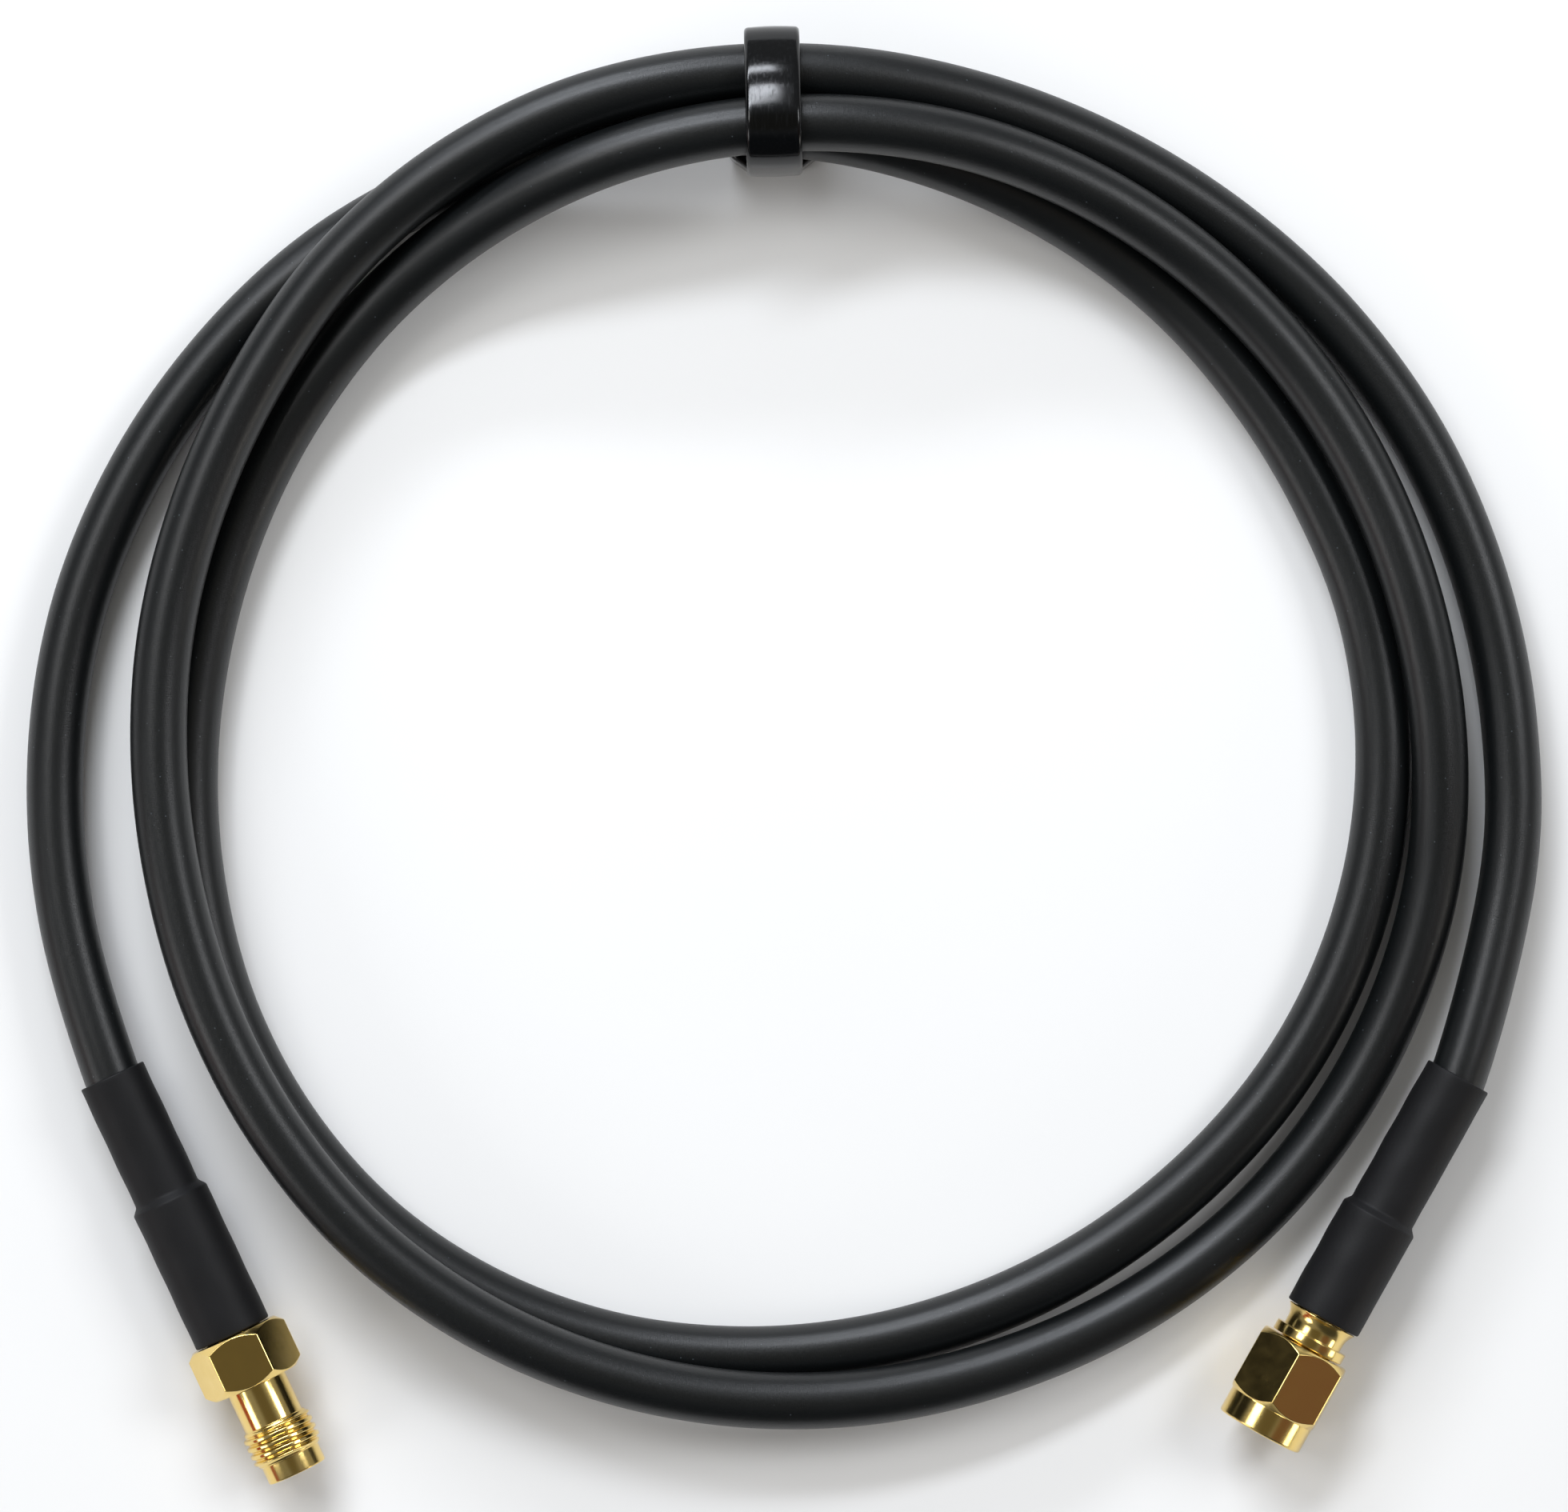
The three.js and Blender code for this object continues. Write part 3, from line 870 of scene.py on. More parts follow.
@dataclass
class CoilRoute:
    """The centre line of the cable, from its cut end in the jack to that in the plug."""

    centre: tuple[float, float] = (0.5652, 1.3364)
    coil_radius: float = 50.9
    turn_pitch: float = 5.15
    cable_radius: float = 2.475
    step: float = 12.0
    clear_of_jack: float = 12.0
    clear_of_plug: float = 0.9
    tie_clock: float = 358.6
    tie_lift: float = 4.5
    lift_reach: float = 50.0
    jack_cut: float = 19.5
    plug_cut: float = 18.75

    def at_clock(self, clock: Array) -> Array:
        """Works out points of the route in the coil.

        Radius is the coil's plus the lane times the pitch, height the cable's radius
        plus the level times the pitch plus the share of the tie's lift, which falls
        as a cosine away from the tie.

        Args:
            clock: Degrees from +Y towards +X, counted on from turn to turn.

        Returns:
            Points in the model's frame, in millimetres.
        """
        stations = np.array(ROUTE_STATIONS, float)
        at = (clock - stations[0, 0]) / (stations[1, 0] - stations[0, 0])
        _, lane, level = catmull_rom(stations, at).T
        away = np.abs((clock - self.tie_clock + 180) % 360 - 180)
        fall = 0.5 + 0.5 * np.cos(np.pi * away / self.lift_reach)
        lift = np.where(away < self.lift_reach, fall, 0)
        radius = self.coil_radius + lane * self.turn_pitch
        height = self.cable_radius + np.maximum(level, 0) * self.turn_pitch + lift * self.tie_lift
        angle = np.radians(clock)
        x = self.centre[0] + radius * np.sin(angle)
        y = self.centre[1] + radius * np.cos(angle)
        return np.stack([x, y, height], axis=1)

    def points(self) -> Array:
        """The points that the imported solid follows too, in millimetres.

        Returns:
            One row for each point, from the jack to the plug.
        """
        first, last = ROUTE_STATIONS[0][0] + self.clear_of_jack, ROUTE_STATIONS[-1][0]
        start = math.ceil((first - self.tie_clock) / self.step) * self.step + self.tie_clock
        clocks = np.arange(start - self.step / 2, last - self.step * self.clear_of_plug, self.step)
        in_jack = np.array([[0, self.jack_cut * s, 0] for s in (1, 0.5, 0)])
        in_plug = np.array([[0, self.plug_cut * s, 0] for s in (0, 0.5, 1)])
        return np.concatenate(
            [JACK_FRAME.place(in_jack), self.at_clock(clocks), PLUG_FRAME.place(in_plug)]
        )

    def line(self, substeps: int) -> Array:
        """The smooth centre line, with so many steps between two of its points."""
        points = self.points()
        return catmull_rom(points, np.arange((len(points) - 1) * substeps + 1) / substeps)


@dataclass
class CoaxCable:
    """The jacketed cable: one round tube along the route."""

    route: CoilRoute
    diameter: float = 4.95
    length: float = 0.975
    sides: int = 36
    substeps: int = 12
    declared_substeps: int = 4
    end_round: float = 0.25
    middle_of_round: float = 0.3

    def build(self) -> bpy.types.Object:
        """Carries a circle along the centre line, square to it, with rounded cut ends.

        Its own frame is the cable laid out straight along Y, so that the jacket's
        pattern follows the cable.

        Returns:
            The cable, in place.
        """
        line = self.route.line(self.substeps)
        along = run_lengths(line)
        forward = unit(np.gradient(line, axis=0))
        side = unit(np.cross(forward, [0, 0, 1.0]))
        axes = side, forward, np.cross(side, forward)
        radius, middle = self.diameter / 2, self.middle_of_round * self.end_round
        bevel = np.array([0.0, radius - self.end_round, radius - middle])
        inset = np.array([0, 0, middle]) - self.end_round
        sizes = np.concatenate([bevel, np.full(len(line), radius), bevel[::-1]])
        shift = np.concatenate([inset, np.zeros(len(line)), -inset[::-1]])
        rows = np.concatenate([[0, 0, 0], np.arange(len(line)), [len(line) - 1] * 3])
        profile = np.stack([sizes, along[rows] + shift], axis=1)
        straight = turned(profile, even_columns(self.sides))

        def place(points: Array) -> Array:
            """Bends the straight cable: each point goes out from the line as far as it did.

            Args:
                points: Points of the straight cable, one row each.

            Returns:
                The same points in the model's frame.
            """
            y = points[:, 1]
            beyond = (y - np.clip(y, 0, along[-1]))[:, None]
            bent = at_lengths(y, along, line)
            for amount, axis in zip((points[:, :1], beyond, points[:, 2:]), axes):
                bent = bent + amount * at_lengths(y, along, axis)
            return bent

        return grid_mesh("jacketed_cable", straight, place, Skin.ROD)

    def declare(self) -> None:
        path = self.route.line(self.declared_substeps) * MM


@dataclass
class CableTie:
    """The cable tie: a strap pulled round three turns, with its head underneath."""

    route: CoilRoute
    width: float = 4.8
    thickness: float = 1.22
    clearance: float = 0.22
    edge_round: float = 0.36
    crown: float = 0.1
    ease: float = 0.6
    bulge: float = 0.38
    run_of_bulge: float = 5.2
    tooth_pitch: float = 1.1
    tooth_depth: float = 0.16
    tooth_band: float = 1.5
    head_length: float = 7.4
    head_width: float = 7.8
    head_height: float = 4.2
    head_taper: float = 1.6
    head_set_back: float = 0.41
    head_round: float = 0.55
    window_at: float = 4.5
    window: tuple[float, float] = (2.65, 1.0)
    window_edge: float = 0.14
    window_depth: float = 0.9
    stub: tuple[float, float] = (2.4, 0.66)
    stub_depth: float = 0.12
    rows: int = 360
    arc_points: int = 60
    run_points: int = 42
    strap_spacing: float = 0.3
    head_spacing: float = 0.14
    head_row: float = 0.13
    head_first_row: float = 0.15
    on_inner_face: float = 0.02
    on_underside: float = 0.01

    def place(self, points: Array) -> Array:
        """Carries points across the strap, outwards from the coil and up to the model's frame.

        Args:
            points: Points in the tie's frame, one row each.

        Returns:
            The same points in the model's frame.
        """
        angle = math.radians(self.route.tie_clock)
        c, s = math.cos(angle), math.sin(angle)
        axes = np.array([[c, -s, 0], [s, c, 0], [0, 0, 1]])
        return points @ axes + np.array([*self.route.centre, 0])

    def tied_turns(self) -> Array:
        """Where the three turns cross the tie: (distance from the coil's centre, height).

        Returns:
            One row for each turn, anticlockwise from the lowest one.
        """
        clock = self.route.tie_clock
        around = self.route.at_clock(clock + np.array([0.0, 720.0, 360.0]))
        away = around[:, :2] - np.array(self.route.centre)
        return np.stack([np.linalg.norm(away, axis=1), around[:, 2]], axis=1)

    def outline(self) -> Array:
        """The strap's inner line, anticlockwise in (outwards, up).

        It is the band pulled round the three turns: an arc about each turn between
        the directions square to its two neighbours, and straight runs between the
        arcs. Between two turns the strap stands off in a parabola, higher the longer
        the run, and a running mean eases the bends, because the strap is stiff.

        Returns:
            Points of shape (rows, 2), evenly spaced.
        """
        turns = self.tied_turns()
        leg_in = turns - np.roll(turns, 1, axis=0)
        leg_out = np.roll(turns, -1, axis=0) - turns
        start = np.arctan2(leg_in[:, 1], leg_in[:, 0]) - np.pi / 2
        sweep = (np.arctan2(leg_out[:, 1], leg_out[:, 0]) - np.pi / 2 - start) % TURN
        angle = start[:, None] + sweep[:, None] * np.linspace(0, 1, self.arc_points)
        distance = self.route.cable_radius + self.clearance
        arcs = turns[:, None] + distance * np.stack([np.cos(angle), np.sin(angle)], axis=-1)
        run = np.roll(arcs[:, 0], -1, axis=0) - arcs[:, -1]
        square = np.stack([run[:, 1], -run[:, 0]], axis=1) / self.run_of_bulge
        square *= np.linalg.norm(run, axis=1, keepdims=True) / self.run_of_bulge
        share = np.linspace(0, 1, self.run_points)[1:-1, None]
        runs = arcs[:, -1:] + run[:, None] * share
        runs += square[:, None] * self.bulge * 4 * share * (1 - share)
        line = np.concatenate([arcs, runs], axis=1).reshape(-1, 2)
        loop = np.vstack([line, line[:1]])
        along = run_lengths(loop)
        places = np.arange(self.rows)
        even = at_lengths(places * along[-1] / self.rows, along, loop)
        offset = np.minimum(places, self.rows - places) * along[-1] / self.rows
        weight = np.exp(-0.5 * (offset / self.ease) ** 2)
        spectrum = np.fft.fft(even, axis=0) * np.fft.fft(weight / weight.sum())[:, None]
        return np.fft.ifft(spectrum, axis=0).real

    def build_strap(self) -> bpy.types.Object:
        """Carries a rounded rectangle round the outline, with teeth cut in its inner face.

        The outer face is crowned across as a parabola. Each tooth is a ramp in the
        middle band of the inner face, a tooth depth high and a tooth pitch long.

        Returns:
            The strap, in place.
        """
        line = self.outline()
        forward = unit(np.roll(line, -1, axis=0) - np.roll(line, 1, axis=0))
        outward = np.stack([forward[:, 1], -forward[:, 0]], axis=1)
        half, thick = self.width / 2, self.thickness
        corners = np.array([[-half, 0], [half, 0], [half, thick], [-half, thick]])
        section = filleted(corners, self.edge_round, Profile.CLOSED, 6)
        across, deep = resampled(section, self.strap_spacing).T
        deep = deep + self.crown * (1 - (across / half) ** 2) * smooth_step(deep / thick)
        perimeter = np.linalg.norm(line - np.roll(line, 1, axis=0), axis=1).sum()
        teeth = round(perimeter / self.tooth_pitch)
        ramp = (np.arange(self.rows) * teeth / self.rows) % 1.0
        toothed = (deep < self.on_inner_face) & (np.abs(across) < self.tooth_band)
        height = deep + np.where(toothed, self.tooth_depth, 0) * ramp[:, None]
        away, up = (line[:, m, None] + outward[:, m, None] * height for m in range(2))
        local = np.stack([np.broadcast_to(across, height.shape), away, up], axis=-1)
        return keep_flats_flat(grid_mesh("tie_strap", local, self.place, Skin.RING))

    def build_head(self) -> bpy.types.Object:
        """Carries a rounded rectangle outwards along the head.

        Its half width eases from the strap's to the head's over the taper, and it
        draws in by a quarter circle at both ends. Underneath, the window is sunk
        round the strap's trimmed end, which stands in its middle.

        Returns:
            The head, in place.
        """
        start = self.tied_turns()[0, 0] - self.route.cable_radius - self.clearance
        start -= self.thickness - self.head_set_back
        length, height = self.head_length, self.head_height
        ends = self.head_round * (1 - np.cos(np.linspace(0, np.pi / 2, 7)))
        middle = np.arange(ends[-1] + self.head_first_row, length - ends[-1], self.head_row)
        along = np.concatenate([[0], ends, middle, length - ends[::-1], [length]])
        inside = np.clip(1 - np.minimum(along, length - along) / self.head_round, 0, 1)
        draw_in = self.head_round * (1 - np.sqrt(1 - inside**2))
        wider = (self.head_width - self.width) / 2
        half = self.width / 2 + wider * smooth_step(along / self.head_taper)
        box = np.array([[-1, 0], [1, 0], [1, 1], [-1, 1]]) * [self.head_width / 2, height]
        section = filleted(box, self.head_round, Profile.CLOSED, 5)
        section = resampled(section, self.head_spacing)
        across, up = section[:, 0] / (self.head_width / 2), section[:, 1] / height
        x = across[None, :] * (half - draw_in)[:, None]
        z = draw_in[:, None] + up[None, :] * (height - 2 * draw_in)[:, None]
        y = np.broadcast_to((start + along)[:, None], x.shape)

        def inside_of(size: tuple[float, float]) -> Array:
            """Works out 1 inside a rectangle of the underside and 0 outside, over a soft edge.

            Args:
                size: Half the rectangle's width and half its length.

            Returns:
                One share for each point of the grid.
            """
            off = np.abs(x), np.abs(y - start - self.window_at)
            reach = [smooth_step((s - o) / self.window_edge + 0.5) for s, o in zip(size, off)]
            return reach[0] * reach[1]

        sunk = inside_of(self.window) * self.window_depth
        sunk -= inside_of(self.stub) * (self.window_depth - self.stub_depth)
        under = (up < self.on_underside)[None, :]
        local = np.stack([x, y, z + np.where(under, sunk, 0)], axis=-1)
        local[0], local[-1] = local[0].mean(axis=0), local[-1].mean(axis=0)
        return keep_flats_flat(grid_mesh("tie_head", local, self.place, Skin.ROD))

    def build(self, finishes: Finishes) -> list[bpy.types.Object]:
        """Builds and dresses the strap and the head.

        Args:
            finishes: The materials.

        Returns:
            The strap and the head.
        """
        return [
            finishes.dress(self.build_strap(), "nylon", "cable_tie"),
            finishes.dress(self.build_head(), "nylon", "cable_tie"),
        ]


# Connectors


@dataclass(frozen=True)
class Hexagon:
    """A hexagon's outline with rounded corners, and the chamfer cut on its two ends."""

    across: float = 8.0
    crown_radius: float = 3.9
    slope: float = 0.95
    corner_round: float = 0.2
    turn: float = 0.0

    def columns(self) -> Array:
        """Angles round the axis, close together at the six corners.

        Returns:
            The angles in radians, in rising order.
        """
        corner = [24.0, 27.8, 28.6, 29.3, 30.0]
        flat = [-18.0, -12.0, -6.0, 0.0, 6.0, 12.0, 18.0]
        sector = np.array([-angle for angle in corner[3::-1]] + flat + corner)
        return np.radians((sector[None, :] + 60 * np.arange(6)[:, None]).ravel() + self.turn)

    def radius(self, columns: Array) -> Array:
        """Distance from the axis to the outline.

        On a flat it is half the width over the cosine of the angle from the flat's
        middle. In a corner it is where the ray meets the rounding circle, whose
        centre lies on the line to the corner.

        Args:
            columns: Angles in radians.

        Returns:
            One distance for each angle.
        """
        off = (columns - math.radians(self.turn) + math.pi / 6) % (math.pi / 3) - math.pi / 6
        off = np.abs(off)
        half = self.across / 2
        flat = half / np.cos(off)
        centre = (half - self.corner_round) / math.cos(math.pi / 6)
        from_corner = math.pi / 6 - off
        root = np.maximum(self.corner_round**2 - (centre * np.sin(from_corner)) ** 2, 0)
        rounded = centre * np.cos(from_corner) + np.sqrt(root)
        touch = math.atan((half - self.corner_round) * math.tan(math.pi / 6) / half)
        return np.where(off > touch, rounded, flat)

    def corners(self, start: float, end: float, columns: Array) -> Array:
        """The four corners of the profile at each angle: crown, side, side, crown.

        Args:
            start: Where the hexagon starts along the axis.
            end: Where it ends.
            columns: Angles in radians.

        Returns:
            (r, y) of shape (4, columns, 2).
        """
        side = self.radius(columns)
        depth = (side - self.crown_radius) * self.slope
        crown, back, front = (np.full_like(side, v) for v in (self.crown_radius, start, end))
        pairs = (crown, back), (side, start + depth), (side, end - depth), (crown, front)
        return np.stack([np.stack(pair, axis=1) for pair in pairs])


@dataclass(frozen=True)
class ScrewThread:
    """A screw thread, whose ridge goes back one pitch a turn from +Z towards +X.

    That is a left-handed thread. The real one is right-handed, with a minus in phase.
    """

    diameter: float = 6.35
    pitch: float = 0.7056
    depth: float = 0.3
    root_flat: float = 0.07
    flank: float = math.pi / 6
    fade: float = 0.4
    rows_per_turn: int = 14

    def rows(self, start: float, end: float, columns: Array, base: float, lift: float) -> Array:
        """The thread's surface between two distances along the axis.

        Radius is the base plus the lift times the ridge's height, which climbs both
        flanks evenly between the root's flat and the crest's as the distance along
        the axis, plus one pitch a turn, goes round. The ridge fades out at both ends.

        Args:
            start: Where the thread starts along the axis.
            end: Where it ends.
            columns: Angles in radians.
            base: Radius without the ridge.
            lift: Height of the ridge.

        Returns:
            (r, y) of shape (rows, columns, 2).
        """
        count = int((abs(end - start) / self.pitch) * self.rows_per_turn)
        y = np.linspace(start, end, count)[:, None]
        phase = (y / self.pitch + columns[None, :] / TURN) % 1.0
        from_root = np.minimum(phase, 1 - phase) * self.pitch - self.root_flat / 2
        ridge = np.clip(from_root / (self.depth * math.tan(self.flank)), 0, 1)
        low, high = min(start, end), max(start, end)
        shown = smooth_step((y - low) / self.fade) * smooth_step((high - y) / self.fade)
        radius = base + lift * ridge * shown
        return np.stack([radius, np.broadcast_to(y, radius.shape)], axis=-1)


@dataclass(frozen=True)
class HeatShrink:
    """A sleeve shrunk over a cable and its ferrule: thin first, then thick."""

    lap: float
    length: float
    wall: float = 0.4
    thin_inner: float = 2.575
    thick_inner: float = 3.075
    step: float = 0.6
    ripple: float = 0.035
    spacing: float = 0.5
    sides: int = 72

    def build(self, name: str, place: Place) -> bpy.types.Object:
        """Turns the sleeve's wall, and lets its outside swell and sink a little.

        The ripple is a product of slow waves round and along the sleeve, plus a wave
        that winds round it, and it is only on the outside, so that the bore stays
        clear of what it holds.

        Args:
            name: The piece's name.
            place: The connector's place.

        Returns:
            The sleeve, in place.
        """
        climb = self.lap + self.step
        thin, thick = self.thin_inner + self.wall, self.thick_inner + self.wall
        outside = [[thin, 0], [thin, self.lap], [thick, climb], [thick, self.length]]
        inside = [[self.thick_inner, self.length], [self.thick_inner, climb]]
        inside += [[self.thin_inner, self.lap], [self.thin_inner, 0]]
        rounding = np.array([0.14, 0.5, 0.35, 0.16, 0.06, 0.2, 0.2, 0.06])
        profile = filleted(np.array(outside + inside, float), rounding, Profile.CLOSED, 5)
        profile = resampled(profile, self.spacing)
        columns = even_columns(self.sides)
        r, y = profile[:, :1], profile[:, 1:]
        bore = np.where(y < climb - self.step / 2, self.thin_inner, self.thick_inner)
        outer = smooth_step((r - bore) / self.wall * 2 - 0.8)
        waves = np.sin(2 * columns + 0.55 * y) * np.sin(0.83 * y + 1.3)
        waves = waves + 0.6 * np.sin(3 * columns - 1.37 * y + 0.7)
        radius = r + outer * self.ripple * waves / 1.6
        lines = np.stack([radius, np.broadcast_to(y, radius.shape)], axis=-1)
        return grid_mesh(name, turned(lines, columns), place, Skin.RING)


@dataclass
class Jack:
    """The threaded jack: sleeve, body with hexagon, barrel, thread and lip, and its inside."""

    sleeve: HeatShrink = field(default_factory=lambda: HeatShrink(lap=11.4, length=24.9))
    hexagon: Hexagon = field(default_factory=Hexagon)
    thread: ScrewThread = field(default_factory=ScrewThread)
    stem_start: float = 19.6
    stem_radius: float = 2.475
    hex_start: float = 25.0
    hex_end: float = 29.7
    barrel_radius: float = 2.7
    thread_start: float = 33.3
    thread_end: float = 36.65
    thread_relief: float = 0.1
    thread_inset: float = 0.12
    front: float = 38.25
    lip_radius: float = 2.69
    mouth_radius: float = 2.3
    mouth_floor: float = 36.3
    socket_radius: float = 2.15
    socket_floor: float = 30.8
    insulator_start: float = 30.9
    insulator_radius: float = 2.05
    insulator_bore: float = 0.735
    contact_radius: float = 0.635
    contact_bore: float = 0.457
    contact_depth: float = 2.7
    funnel_width: float = 0.06
    funnel_depth: float = 0.15

    def build_body(self) -> bpy.types.Object:
        """Turns and mills the body as one closed surface, from its stem into its socket.

        Returns:
            The body, in place.
        """
        columns = self.hexagon.columns()
        root = self.thread.diameter / 2 - self.thread.depth
        stem = [
            (0, self.stem_start),
            (self.stem_radius, self.stem_start),
            (self.stem_radius, self.hex_start),
        ]
        barrel = [
            (self.barrel_radius, self.hex_end),
            (self.barrel_radius, self.thread_start),
            (root, self.thread_start + self.thread_relief),
        ]
        front = [
            (root, self.thread_end - self.thread_relief),
            (self.lip_radius, self.thread_end),
            (self.lip_radius, self.front),
            (self.mouth_radius, self.front),
            (self.mouth_radius, self.mouth_floor),
            (self.socket_radius, self.mouth_floor),
            (self.socket_radius, self.socket_floor),
            (0, self.socket_floor),
        ]
        hexagon = self.hexagon.corners(self.hex_start, self.hex_end, columns)
        back = [round_corners(stem, columns), hexagon, round_corners(barrel, columns)]
        back_rounding = np.array([0.1, 0.1, 0.08, 0.1, 0.09, 0.09, 0.1, 0.12, 0.05, 0.05])
        front_rounding = np.array([0.05, 0.05, 0.14, 0.1, 0.05, 0.04, 0.05, 0.05])
        start, end = self.thread_start + self.thread_inset, self.thread_end - self.thread_inset
        lines = np.concatenate(
            [
                filleted(np.concatenate(back), back_rounding, Profile.OPEN),
                self.thread.rows(start, end, columns, root, self.thread.depth),
                filleted(round_corners(front, columns), front_rounding, Profile.OPEN),
            ]
        )
        body = grid_mesh("jack_shell", turned(lines, columns), JACK_FRAME.place, Skin.ROD)
        return keep_flats_flat(body)

    def build_insulator(self) -> bpy.types.Object:
        """Turns the insulator in the jack's socket.

        Returns:
            The insulator, in place.
        """
        corners = [
            (self.insulator_bore, self.insulator_start),
            (self.insulator_radius, self.insulator_start),
            (self.insulator_radius, self.mouth_floor),
            (self.insulator_bore, self.mouth_floor),
        ]
        return JACK_FRAME.turn_piece("jack_insulator", corners, 0.06, Skin.RING, 64)

    def build_contact(self) -> bpy.types.Object:
        """Turns the centre contact, open in front for the pin, with a funnel at its mouth.

        Returns:
            The contact, in place.
        """
        floor = self.mouth_floor - self.contact_depth
        corners = [
            (0, self.insulator_start),
            (self.contact_radius, self.insulator_start),
            (self.contact_radius, self.mouth_floor),
            (self.contact_bore + self.funnel_width, self.mouth_floor),
            (self.contact_bore, self.mouth_floor - self.funnel_depth),
            (self.contact_bore, floor),
            (0, floor - self.funnel_depth),
        ]
        return JACK_FRAME.turn_piece("jack_socket", corners, 0.04, Skin.ROD, 48)

    def build(self, finishes: Finishes) -> list[bpy.types.Object]:
        """Builds and dresses the jack's pieces.

        Args:
            finishes: The materials.

        Returns:
            The sleeve, the body, the insulator and the contact.
        """
        sleeve = self.sleeve.build("jack_sleeve", JACK_FRAME.place)
        return [
            finishes.dress(sleeve, "shrink", "jack_heat_shrink"),
            finishes.dress(self.build_body(), "gold", "jack_body"),
            finishes.dress(self.build_insulator(), "insulator", "jack_dielectric"),
            finishes.dress(self.build_contact(), "gold", "jack_contact"),
        ]


@dataclass
class Plug:
    """The plug: sleeve, waisted body, coupling nut, insulator and pin."""

    sleeve: HeatShrink = field(default_factory=lambda: HeatShrink(lap=13.6, length=24.15))
    hexagon: Hexagon = field(default_factory=lambda: Hexagon(turn=-21.6))
    thread: ScrewThread = field(default_factory=ScrewThread)
    stem_start: float = 18.85
    stem_radius: float = 2.475
    flare_start: float = 24.25
    flare_radius: float = 3.25
    neck_radius: float = 2.725
    neck_start: float = 25.5
    flange_start: float = 26.1
    flange_end: float = 27.0
    flange_radius: float = 3.35
    nut_neck_radius: float = 2.3
    shoulder_start: float = 28.2
    shoulder_end: float = 29.0
    shoulder_radius: float = 2.6
    contact_radius: float = 2.285
    contact_wall: float = 0.25
    face: float = 33.05
    insulator_length: float = 5.4
    insulator_gap: float = 0.1
    pin_radius: float = 0.457
    pin_reach: float = 1.6
    pin_taper: float = 0.45
    pin_tip: float = 0.5
    nut_start: float = 27.15
    nut_hex_end: float = 33.25
    nut_front: float = 35.55
    collar_radius: float = 3.92
    collar_set_off: float = 0.03
    lip_length: float = 0.9
    running_clearance: float = 0.15
    bore_radius: float = 2.925
    thread_inset: float = 0.05
    thread_run_out: float = 0.4
    floor_gap: float = 0.02
    groove_depth: float = 0.28
    mouth_chamfer: float = 0.35

    def build_body(self) -> bpy.types.Object:
        """Turns the body from its stem, over flare, neck and flange, into its bore.

        The waist between flare and neck falls as the square of the distance to the neck.

        Returns:
            The body, in place.
        """
        share = np.linspace(0, 1, 9)
        waist_radius = self.neck_radius + (self.flare_radius - self.neck_radius) * (1 - share) ** 2
        waist = self.flare_start + share * (self.neck_start - self.flare_start)
        core = self.contact_radius - self.contact_wall
        floor = self.face - self.insulator_length - self.insulator_gap
        corners = [
            (0, self.stem_start),
            (self.stem_radius, self.stem_start),
            (self.stem_radius, self.flare_start),
            *zip(waist_radius, waist),
            (self.neck_radius, self.flange_start),
            (self.flange_radius, self.flange_start),
            (self.flange_radius, self.flange_end),
            (self.nut_neck_radius, self.flange_end),
            (self.nut_neck_radius, self.shoulder_start),
            (self.shoulder_radius, self.shoulder_start),
            (self.shoulder_radius, self.shoulder_end),
            (self.contact_radius, self.shoulder_end),
            (self.contact_radius, self.face),
            (core, self.face),
            (core, floor),
            (0, floor),
        ]
        body = PLUG_FRAME.turn_piece("plug_shell", corners, 0.07, Skin.ROD, 96, 3)
        return keep_flats_flat(body)

    def build_nut(self) -> bpy.types.Object:
        """Mills and turns the nut as one closed ring, with the thread in its bore.

        Returns:
            The nut, in place.
        """
        columns = self.hexagon.columns()
        neck = self.nut_neck_radius + self.running_clearance
        lip_end = self.nut_start + self.lip_length
        chamfer_start = self.nut_front - self.mouth_chamfer
        collar = [
            (self.collar_radius, self.nut_hex_end + self.collar_set_off),
            (self.collar_radius, self.nut_front),
            (self.bore_radius + self.mouth_chamfer, self.nut_front),
            (self.bore_radius, chamfer_start),
        ]
        outside = [
            round_corners([(neck, lip_end), (neck, self.nut_start)], columns),
            self.hexagon.corners(self.nut_start, self.nut_hex_end, columns),
            round_corners(collar, columns),
        ]
        rounding = np.array([0.05, 0.08, 0.1, 0.09, 0.09, 0.05, 0.04, 0.22, 0.08, 0.05])
        start, end = chamfer_start - self.thread_inset, lip_end + self.thread_run_out
        lines = np.concatenate(
            [
                filleted(np.concatenate(outside), rounding, Profile.OPEN),
                self.thread.rows(start, end, columns, self.bore_radius, self.groove_depth),
                round_corners([(self.bore_radius, lip_end + self.floor_gap)], columns),
            ]
        )
        nut = grid_mesh("plug_nut", turned(lines, columns), PLUG_FRAME.place, Skin.RING)
        return keep_flats_flat(nut)

    def build_insulator(self) -> bpy.types.Object:
        """Turns the insulator inside the outer contact.

        Returns:
            The insulator, in place.
        """
        outer = self.contact_radius - self.contact_wall - self.insulator_gap
        inner = self.pin_radius + self.insulator_gap
        start = self.face - self.insulator_length
        corners = [(inner, start), (outer, start), (outer, self.face), (inner, self.face)]
        return PLUG_FRAME.turn_piece("plug_insulator", corners, 0.06, Skin.RING, 64)

    def build_pin(self) -> bpy.types.Object:
        """Turns the centre pin with its tapered tip.

        Returns:
            The pin, in place.
        """
        start, tip = self.face - self.insulator_length, self.face + self.pin_reach
        corners = [
            (0, start),
            (self.pin_radius, start),
            (self.pin_radius, tip - self.pin_taper),
            (self.pin_radius * self.pin_tip, tip),
            (0, tip),
        ]
        return PLUG_FRAME.turn_piece("plug_centre_pin", corners, 0.12, Skin.ROD, 40, 5)

